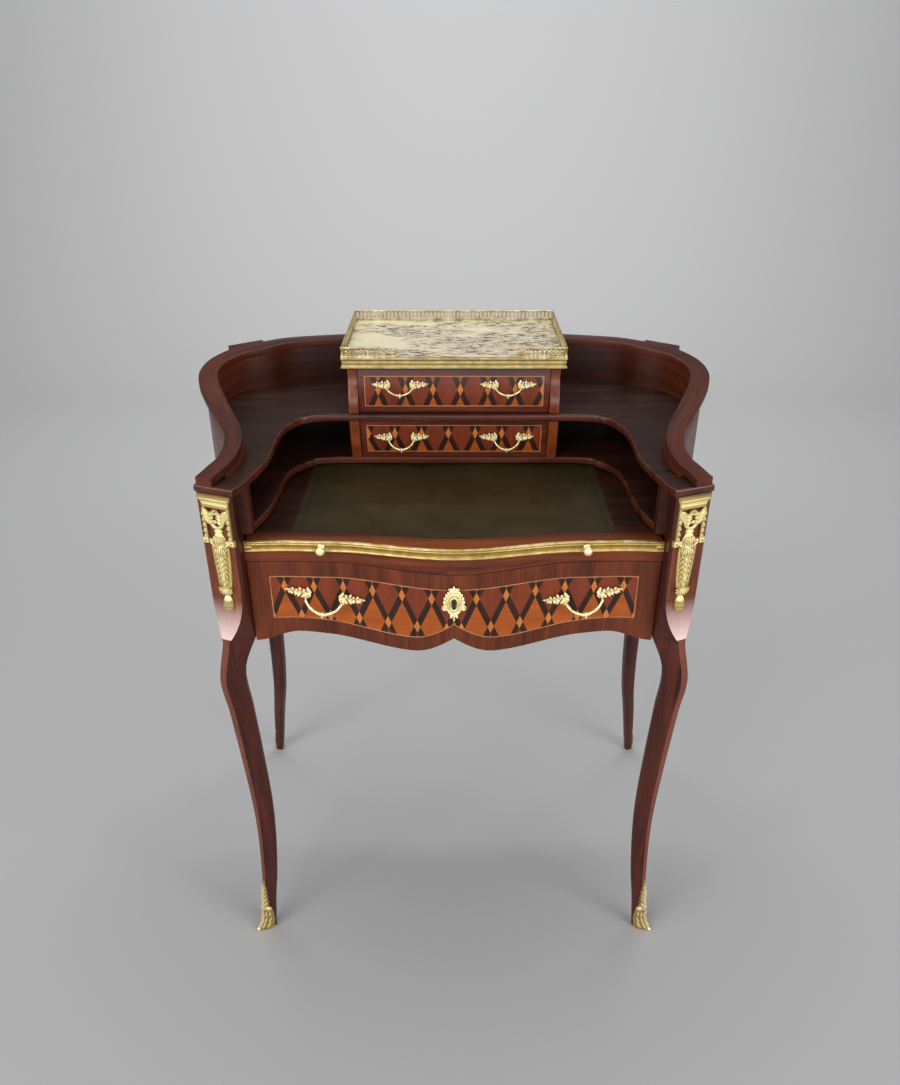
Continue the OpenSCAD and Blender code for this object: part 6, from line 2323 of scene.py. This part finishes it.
    def build(self) -> None:
        """Make the veneers, the pulls and the escutcheon."""
        panel, outer, inner = self.around(0.0), self.around(None), self.around(self.string)
        self.frame_ring(panel, outer, 7, 0.35).piece(
            "drawer_crossbanding_sheet", self.body, "drawer_crossbanding", "crossbanding", BANDING)
        self.frame_ring(inner, panel, 2, 0.0).piece(
            "drawer_string_line", self.body, "drawer_stringing", "boxwood", BOXWOOD)
        self.trellis().piece("drawer_trellis_sheet", self.body, "drawer_marquetry", "marquetry", MAIN_TRELLIS)
        self.pull.shell(self.front_t + self.veneer + 7).moved(self.pull_place()).pair(
            "leafy_pull", self.body, "drawer_pull", "gilt_brass", GILT, sharp=50)
        self.keyplate().piece("leafy_escutcheon", self.body, "escutcheon", "gilt_brass", GILT, KEYHOLE_SHADE, DEEP,
                              sharp=50)


@dataclass
class SmallPulls:
    """A pair of small pulls on each small drawer."""

    x: float = 79.0
    length: float = 83.0
    bar: float = 1.05
    stand_off: float = 14.0
    kinds: tuple = (("lower", Body.LOWER, 0.56, 13.5), ("upper", Body.UPPER, 0.67, 10.0))

    def build(self, cabinet: SmallCabinet) -> None:
        """Make both pairs.

        Args:
            cabinet: The cabinet that they belong to.
        """
        for name, body, share, drop in self.kinds:
            z0, h = cabinet.reach(name == "upper")
            y = float(cabinet.front(name == "upper", np.array([share]))[0])
            spot = np.array([self.x, y, z0 + h * share])
            pull = Handle(self.length, drop, self.bar, self.stand_off).shell(cabinet.front_t + 3)
            one = pull.moved(lambda p: p + spot)
            one.join(one.mirrored()).piece(f"{name}_leafy_pulls", body, f"{name}_drawer_pulls", "gilt_brass",
                                           GILT, sharp=50)


@dataclass
class WritingBoard:
    """Reeded and fluted brass edge of the writing board, with its two turned knobs."""

    edge: float = -4.0
    depth: float = 5.0
    flute: float = 2.6
    knob_x: float = 172.0
    knob_l: float = 15.0
    knob_r: float = 6.0
    block: float = 9.0
    steps: tuple = (0, 0.02, 0.09, 0.16, 0.20, 0.24, 0.29, 0.42, 0.55, 0.60, 0.64, 0.70, 0.76, 0.80, 0.86,
                    0.93, 0.98, 1.0)
    depths: tuple = (1.6, 0.9, 0.5, 0.9, 1.5, 1.5, 2.0, 2.0, 2.0, 1.5, 1.0, 0.5, 0.9, 1.2, 0.5, 0.0, 0.4, 1.0)
    waist: tuple = ((0.62, -1.4), (0.42, -2.6))
    head: tuple = ((0.38, 0.30), (0.46, 0.38), (0.72, 0.44), (0.80, 0.50), (0.92, 0.56), (1, 0.66),
                   (0.98, 0.76), (0.84, 0.87), (0.58, 0.95), (0.3, 0.99))
    body: Body = Body.BOARD

    def moulding(self) -> Shell:
        """Profile of reeds carried along the serpentine line; its hollow is fluted upright.

        Returns:
            The moulding, plain in a short block at each end.
        """
        half = PLAN.end_x
        x = np.linspace(-half, half, int(2 * half / self.flute) * 5 + 1)
        share = np.array(self.steps)
        hollow = ((share > 0.25) & (share < 0.57))[None]
        fluted = (np.abs(x) < half - self.block)[:, None]
        wave = 0.55 * (0.5 + 0.5 * np.cos(2 * np.pi * x / self.flute))[:, None]
        face = PLAN.face_y(x)[:, None] + self.edge
        y = face + np.array(self.depths)[None] - hollow * np.where(fluted, wave, 1.2)
        y = np.concatenate([y, np.repeat(face + self.depth, 2, 1)], 1)
        z = PLAN.z_slide + np.concatenate([share, [1.0, 0.0]]) * (PLAN.slide_t + PLAN.slide_lip)
        return Shell().loft(np.stack(np.broadcast_arrays(x[:, None], y, z[None]), -1))

    def knob(self, s: int) -> Shell:
        """Turned knob with a waist and a rounded head, and its pin.

        Args:
            s: Sign of its side.

        Returns:
            The knob.
        """
        k, l = self.knob_r, self.knob_l
        profile = [(k * 0.78, 0.4), (k * 0.8, -0.4)] + [(k * r, h) for r, h in self.waist] \
            + [(k * r, -l * h) for r, h in self.head] + [(0.3, -l)]
        y = float(PLAN.face_y(np.array([self.knob_x]))[0]) + self.edge
        spot = (s * self.knob_x, y, PLAN.z_slide + (PLAN.slide_t + PLAN.slide_lip) / 2)
        return turned(profile, spot, "y", 28).join(turned([(1.7, 0.2), (1.7, 14)], spot, "y", 12))

    def build(self) -> None:
        """Make the moulding and the knobs."""
        self.moulding().piece("reeded_edge", self.body, "slide_moulding", "gilt_brass", BRASS, sharp=50)
        self.knob(-1).join(self.knob(1)).piece("turned_knobs", self.body, "slide_knobs", "gilt_brass", GILT,
                                               sharp=40)


@dataclass
class PostMounts:
    """Gilt mounts of the front posts: capital, swag with a ring, husks, vase, leaves and acorn.

    Points are given along the canted face, outwards from it and down from its top.
    """

    top: float = 828.5
    shift: float = -1.0
    half: float = 22.0
    sunk: float = -0.05
    body: Body = Body.CASE
    moulding: tuple = ((0, 0.5, 6.4), (-0.5, 0, 7.0), (-2.2, 0, 7.0), (-2.8, 0.7, 6.2), (-4.2, 1.2, 5.6),
                       (-4.8, 0.8, 5.9), (-6.2, 0.8, 5.9), (-6.8, 1.6, 5.0), (-9.0, 2.8, 4.2),
                       (-12.0, 3.6, 3.6), (-13.0, 3.2, 3.9), (-14.2, 3.2, 3.9), (-14.8, 4.2, 3.0),
                       (-17.0, 4.4, 2.6))
    bell: tuple = ((3.0, -84), (8.0, -82.5), (10.2, -80), (8.6, -77), (6.4, -74), (8.2, -69), (9.4, -64),
                   (8.8, -59), (6.0, -55), (4.6, -52), (6.4, -50), (6.4, -48.4), (3.0, -46), (2.4, -43))
    taper: tuple = ((-69, 12.4), (-80, 12.0), (-100, 11.0), (-118, 9.8), (-131, 8.8))
    cuff: tuple = ((3.0, -130), (6.5, -131), (7.0, -133), (5.2, -135), (5.6, -137), (3.0, -138))
    acorn: tuple = ((0.4, -167.8), (2.6, -166.9), (4.6, -164.4), (6.0, -160), (6.5, -155.5), (6.2, -151),
                    (5.0, -147.6), (3.2, -145), (2.4, -142), (3.0, -139))

    def place(self, p: np.ndarray) -> np.ndarray:
        """From along, outwards and down of the canted face to the desk's frame."""
        return raised(PLAN.post_at(p[:, 0] + self.shift, -p[:, 1]), p[:, 2] + self.top)

    def sunken(self, shell: Shell, flat: float, out: float) -> Shell:
        """A turned form flattened and half sunk in the face.

        Args:
            shell: The form.
            flat: Share of its depth that is kept.
            out: How far its axis stands out.

        Returns:
            The form on the face.
        """
        floor = [-np.inf, self.sunk, -np.inf]
        return shell.moved(lambda p: np.maximum(p * [1, flat, 1] + [0, out, 0], floor))

    def board(self, outline: Points, high: float, radius: float, paint: int = 0) -> Shell:
        """A flat board on the face."""
        return plate(np.asarray(outline, float), self.sunk, high, radius, 0.1, order=(0, 2, 1), paint=paint)

    def capital(self) -> Shell:
        """Capital: rectangles with cut corners whose half width and depth follow a moulding.

        Returns:
            The capital.
        """
        z, less, d = np.array(self.moulding).T
        w, c = self.half - less, 0.8
        x = np.stack([-w, -w, -w + c, w - c, w, w], 1)
        q = np.stack([0 * d + self.sunk, d - c, d, d, d - c, 0 * d + self.sunk], 1)
        return Shell().loft(np.stack([x, q, np.broadcast_to(z[:, None], x.shape)], -1))

    def swag(self) -> Shell:
        """Draped cloth on both sides of a ring, and two short ends that hang beside it.

        Returns:
            The swag.
        """
        shell, out = Shell(), (0, 1, 0)
        for s in (-1, 1):
            for k, deep in enumerate((26, 31, 36)):
                path = curve([[s * (18.0 - k), 3.2, -18.5], [s * (13.0 - 0.5 * k), 4.4, -deep * 0.86],
                              [s * 7.5, 4.6, -deep], [s * 2.0, 5.2, -deep + 5.0 - k]], 8)
                r = 1.5 + 1.9 * np.sin(np.pi * np.linspace(0, 1, len(path))) ** 0.8
                shell.join(tube(path, r, 10, twist=0.5, flutes=4, depth=0.22))
            shell.leaf((s * 17.5, 2.0, -17), (s * 15.5, 2.2, -33), out, 7.0, 2.0, 2.0, 3)
            shell.leaf((s * 1.0, 3.0, -19), (s * 9.0, 4.0, -30), out, 6.5, 2.6, 2.2, 2)
        a = full_turn(40)
        ring = np.stack([8.8 * np.cos(a) - 1.5, np.full_like(a, 4.4), 10.2 * np.sin(a) - 33], 1)
        shell.join(tube(ring, 2.5, 10, closed=True, twist=0.9, flutes=2, depth=0.18))
        return shell.bead((0, 5.0, -20.5), 2.6, 10, 8)

    def husks(self) -> Shell:
        """Side bars with a chain of small bell-shaped husks, ending on square brackets.

        Returns:
            Both bars.
        """
        shell, out = Shell(), (0, 1, 0)
        boards = (([[8.0, -61.5], [15.5, -61.5], [15.5, -67.0], [8.0, -67.0]], 3.0, 0.8),
                  ([[14.6, -60.0], [22.6, -60.0], [22.6, -68.0], [14.6, -68.0]], 4.6, 0.9))
        for s in (-1, 1):
            bar = np.array([[15.6, -16], [19.2, -16], [19.6, -60], [16.2, -60]]) * [s, 1]
            shell.join(self.board(bar, 1.8, 0.5, 1))
            for z in -21.5 - 8.0 * np.arange(5):
                for side in (-1, 0, 1):
                    tip = (s * 17.4 + side * 2.6, 3.0, z - 8.2)
                    shell.leaf((s * 17.4, 2.0, z), tip, out, 3.4, 1.5, 1.3, 0, 8, 8, 0.8)
                shell.bead((s * 17.4, 3.2, z), 1.3, 8, 6)
            for outline, high, radius in boards:
                shell.join(self.board(np.array(outline) * [s, 1], high, radius))
            shell.bead((s * 18.6, 4.8, -64.0), 1.7, 10, 7)
            shell.leaf((s * 15, 1.5, -64), (s * 6.5, 2.5, -71), out, 5.0, 1.6, 1.6, 2)
        return shell

    def vase(self) -> Shell:
        """Bell between the brackets with its collar and leaves.

        Returns:
            The vase.
        """
        shell, out = self.sunken(turned(self.bell, cols=28, lobes=12, depth=0.10), 0.46, 1.4), (0, 1, 0)
        for x in (-7.5, -3.8, 0.0, 3.8, 7.5):
            far = abs(x)
            tip, low = (x, 5.4 - 0.25 * far, -70 + 0.5 * far), (1.15 * x, 5.0 - 0.25 * far, -84)
            shell.leaf((0.6 * x, 4.6, -55), tip, out, 4.6, 1.6, 1.6, 2, 9, 10, 0.9)
            shell.leaf((0.7 * x, 4.2, -73), low, out, 4.6, 1.4, 1.5, 0, 8, 8, 0.9)
        return shell

    def panel(self) -> Shell:
        """Tapering strip with plain edges, filled with leaves that overlap downwards.

        Returns:
            The strip.
        """
        z, w = np.array(self.taper).T
        outline, out = np.vstack([np.stack([-w, z], 1), np.stack([w, z], 1)[::-1]]), (0, 1, 0)
        shell = self.board(outline, 1.6, 0.4, 1)
        for s in (-1, 1):
            shell.join(tube(curve(np.stack([s * (w - 0.9), np.full_like(w, 2.2), z], 1), 4), 1.1, 8))
        for top in -68.0 - 7.4 * np.arange(8):
            wide = float(np.interp(-top, -z, w)) - 1.8
            for s in (-1, 1):
                for share in (0.45, 0.95):
                    tip = (s * wide * share, 3.0, top - 8.5 + 4 * share)
                    shell.leaf((s * 1.2, 1.6, top + 2 * share), tip, out, wide * 0.55, 1.5, 1.6, 2, 8, 8, 0.9)
            shell.leaf((0, 2.2, top - 1), (0, 3.2, top - 12.5), out, wide * 0.75, 1.5, 1.6, 2, 9, 10, 1.0)
        return shell

    def drop(self) -> Shell:
        """Cuff of small pointed leaves and an acorn that hangs from it.

        Returns:
            The drop.
        """
        shell = self.sunken(turned(self.cuff, cols=24), 0.6, 1.4)
        for a in np.radians(170 + 25 * np.arange(9)):
            root = (3.0 * math.cos(a), 3.4, -134 + 1.5 * math.sin(a))
            tip = (11.0 * math.cos(a), 3.4, -135 + 10.5 * math.sin(a) * 0.9)
            shell.leaf(root, tip, (0, 1, 0), 4.4, 1.6, 1.6, 0, 8, 8, 0.8)
        for z, r, start in ((-150, 5.4, 30), (-155, 6.4, 45), (-160, 5.4, 30)):
            for a in np.radians(start + 30 * np.arange(5)):
                spot = np.array([r * math.cos(a), 0.75 * r * math.sin(a) + 1.9, z])
                shell.leaf(spot, spot - [0, 0, 7.0], (math.cos(a), math.sin(a), 0), 4.2, 1.0, 1.4, 0, 7, 7,
                           0.6)
        return shell.join(self.sunken(turned(self.acorn, cols=24, lobes=10, depth=0.08), 0.75, 1.9))

    def build(self) -> None:
        """Make both mounts."""
        shell = self.capital()
        for part in (self.swag, self.husks, self.vase, self.panel, self.drop):
            shell.join(part())
        shell.moved(self.place).pair("swagged_mount", self.body, "chute", "gilt_brass", MOUNT_GILT,
                                     MOUNT_GROUND, sharp=50)


@dataclass
class PlainParts:
    """Solids that keep their own shape and only take a finish."""

    finishes: tuple = (
        (OAK, ("slide_bearer_left", "slide_bearer_right", "drawer_runner_left", "drawer_runner_right",
               "drawer_side_left", "drawer_side_right", "drawer_back", "drawer_bottom",
               "upper_drawer_carcase", "upper_drawer_bottom", "lower_drawer_carcase", "lower_drawer_bottom")),
        (EDGE_WOOD, ("cabinet_top", "drawer_front")), (BLOCK_WOOD, ("corner_blocks",)),
        (SHADED_BOARD_WOOD, ("slide_board",)), (MARBLE, ("marble_top",)), (LEATHER, ("slide_leather",)),
        (GILT, ("chute_pins",)), (BOLT_BRASS, ("lock_bolt",)),
        (STEEL, ("drawer_pull_nuts", "lock_case", "lock_screws")))

    def build(self) -> None:
        """Dress each solid that no new piece stands for."""
        for finish, names in self.finishes:
            for name in names:
                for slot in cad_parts[name].material_slots:
                    slot.material = finish.material()
                LOG.info("%s: dressed with %s", name, finish.name)


@dataclass
class Studio:
    """Plain pale sweep, soft lamps and the camera at the photograph's viewing angle, in metres."""

    eye: tuple = (0.0, -1.205, 1.300)
    pitch: float = 29.0
    lens: float = 29.0
    aside: float = -0.0037
    floor: tuple = tone(158, 158, 159)
    world: float = 0.20
    bend_y: float = 2.4
    bend_r: float = 1.6
    wall_top: float = 1.85
    lamps: tuple = (("key_lamp", (-1.5, -2.2, 2.5), (0, 0, 0.6), (1.6, 1.6), 47),
                    ("fill_lamp", (1.8, -2.0, 2.2), (0, 0, 0.6), (1.6, 1.6), 33),
                    ("top_lamp", (0, 0.4, 3.0), (0, 0.1, 0.8), (2.4, 2.0), 26),
                    ("low_lamp", (0, -3.2, 0.9), (0, 0, 0.6), (3.0, 1.4), 34),
                    ("side_lamp_left", (-2.0, -1.5, 0.95), (-0.36, -0.2, 0.75), (0.9, 0.9), 15),
                    ("side_lamp_right", (2.0, -1.5, 0.95), (0.36, -0.2, 0.75), (0.9, 0.9), 15),
                    ("wall_lamp", (0, 1.4, 3.4), (0, 4.0, 1.6), (4.0, 1.0), 172))

    @staticmethod
    def put(name: str, data: bpy.types.ID) -> bpy.types.Object:
        """Make an object of some data and link it to the scene."""
        obj = bpy.data.objects.new(name, data)
        bpy.context.scene.collection.objects.link(obj)
        return obj

    def sweep(self) -> None:
        """Floor that curves up into the backdrop: a quarter circle between two straight runs."""
        turn = np.linspace(-math.pi / 2, 0, 24)
        r, end = self.bend_r, self.bend_y + self.bend_r
        y = np.concatenate([[-6.0, -2.0], self.bend_y + r * np.cos(turn), [end]])
        z = np.concatenate([[0.0, 0.0], r + r * np.sin(turn), [self.wall_top]])
        x = np.linspace(-7, 7, 9)
        points = np.stack(np.broadcast_arrays(x[None], y[:, None], z[:, None]), -1).reshape(-1, 3)
        rows, cols = len(y), len(x)
        i, j = np.meshgrid(np.arange(rows - 1), np.arange(cols - 1), indexing="ij")
        a = (i * cols + j).ravel()
        mesh = bpy.data.meshes.new("studio_sweep")
        mesh.from_pydata(points.tolist(), [], np.stack([a, a + 1, a + cols + 1, a + cols], 1).tolist())
        mesh.shade_smooth()
        material = bpy.data.materials.new("studio_paper")
        material.use_nodes = True
        shader = material.node_tree.nodes["Principled BSDF"]
        shader.inputs["Base Color"].default_value = self.floor
        shader.inputs["Roughness"].default_value = 0.9
        mesh.materials.append(material)
        self.put("studio_sweep", mesh)

    def lamp(self, name: str, spot: tuple, aim: tuple, size: tuple, power: float) -> None:
        """A soft rectangular lamp that looks at a point.

        Args:
            name: Its name.
            spot: Where it stands.
            aim: What it looks at.
            size: Its width and height.
            power: Its power in watts.
        """
        data = bpy.data.lights.new(name, "AREA")
        data.shape = "RECTANGLE"
        data.size, data.size_y = size
        data.energy = power
        obj = self.put(name, data)
        obj.location = spot
        obj.rotation_euler = (Vector(spot) - Vector(aim)).to_track_quat("Z", "Y").to_euler()

    def build(self) -> None:
        """Make the stage, the lamps, the world and the camera."""
        self.sweep()
        for lamp in self.lamps:
            self.lamp(*lamp)
        world = bpy.data.worlds.new("studio_world")
        world.use_nodes = True
        sky = world.node_tree.nodes["Background"]
        sky.inputs["Color"].default_value = (1, 1, 1, 1)
        sky.inputs["Strength"].default_value = self.world
        bpy.context.scene.world = world
        data = bpy.data.cameras.new("photo_camera")
        data.sensor_width = 36
        data.lens = self.lens
        data.shift_x = self.aside
        data.clip_end = 50
        camera = self.put("photo_camera", data)
        camera.location = self.eye
        camera.rotation_euler = (math.radians(90 - self.pitch), 0, 0)
        bpy.context.scene.camera = camera
        bpy.context.scene.view_settings.view_transform = "Standard"


def main() -> None:
    """Build the studio and every sub-assembly in order."""
    logging.basicConfig(level=logging.INFO, format="%(name)s %(message)s")
    cabinet = SmallCabinet()
    for part in (Studio(), Legs(), Gallery(), Compartments(), cabinet, Tray(), MainDrawer()):
        part.build()
    SmallPulls().build(cabinet)
    for part in (WritingBoard(), PostMounts(), Sabots(), PlainParts()):
        part.build()


if __name__ == "__main__":
    main()
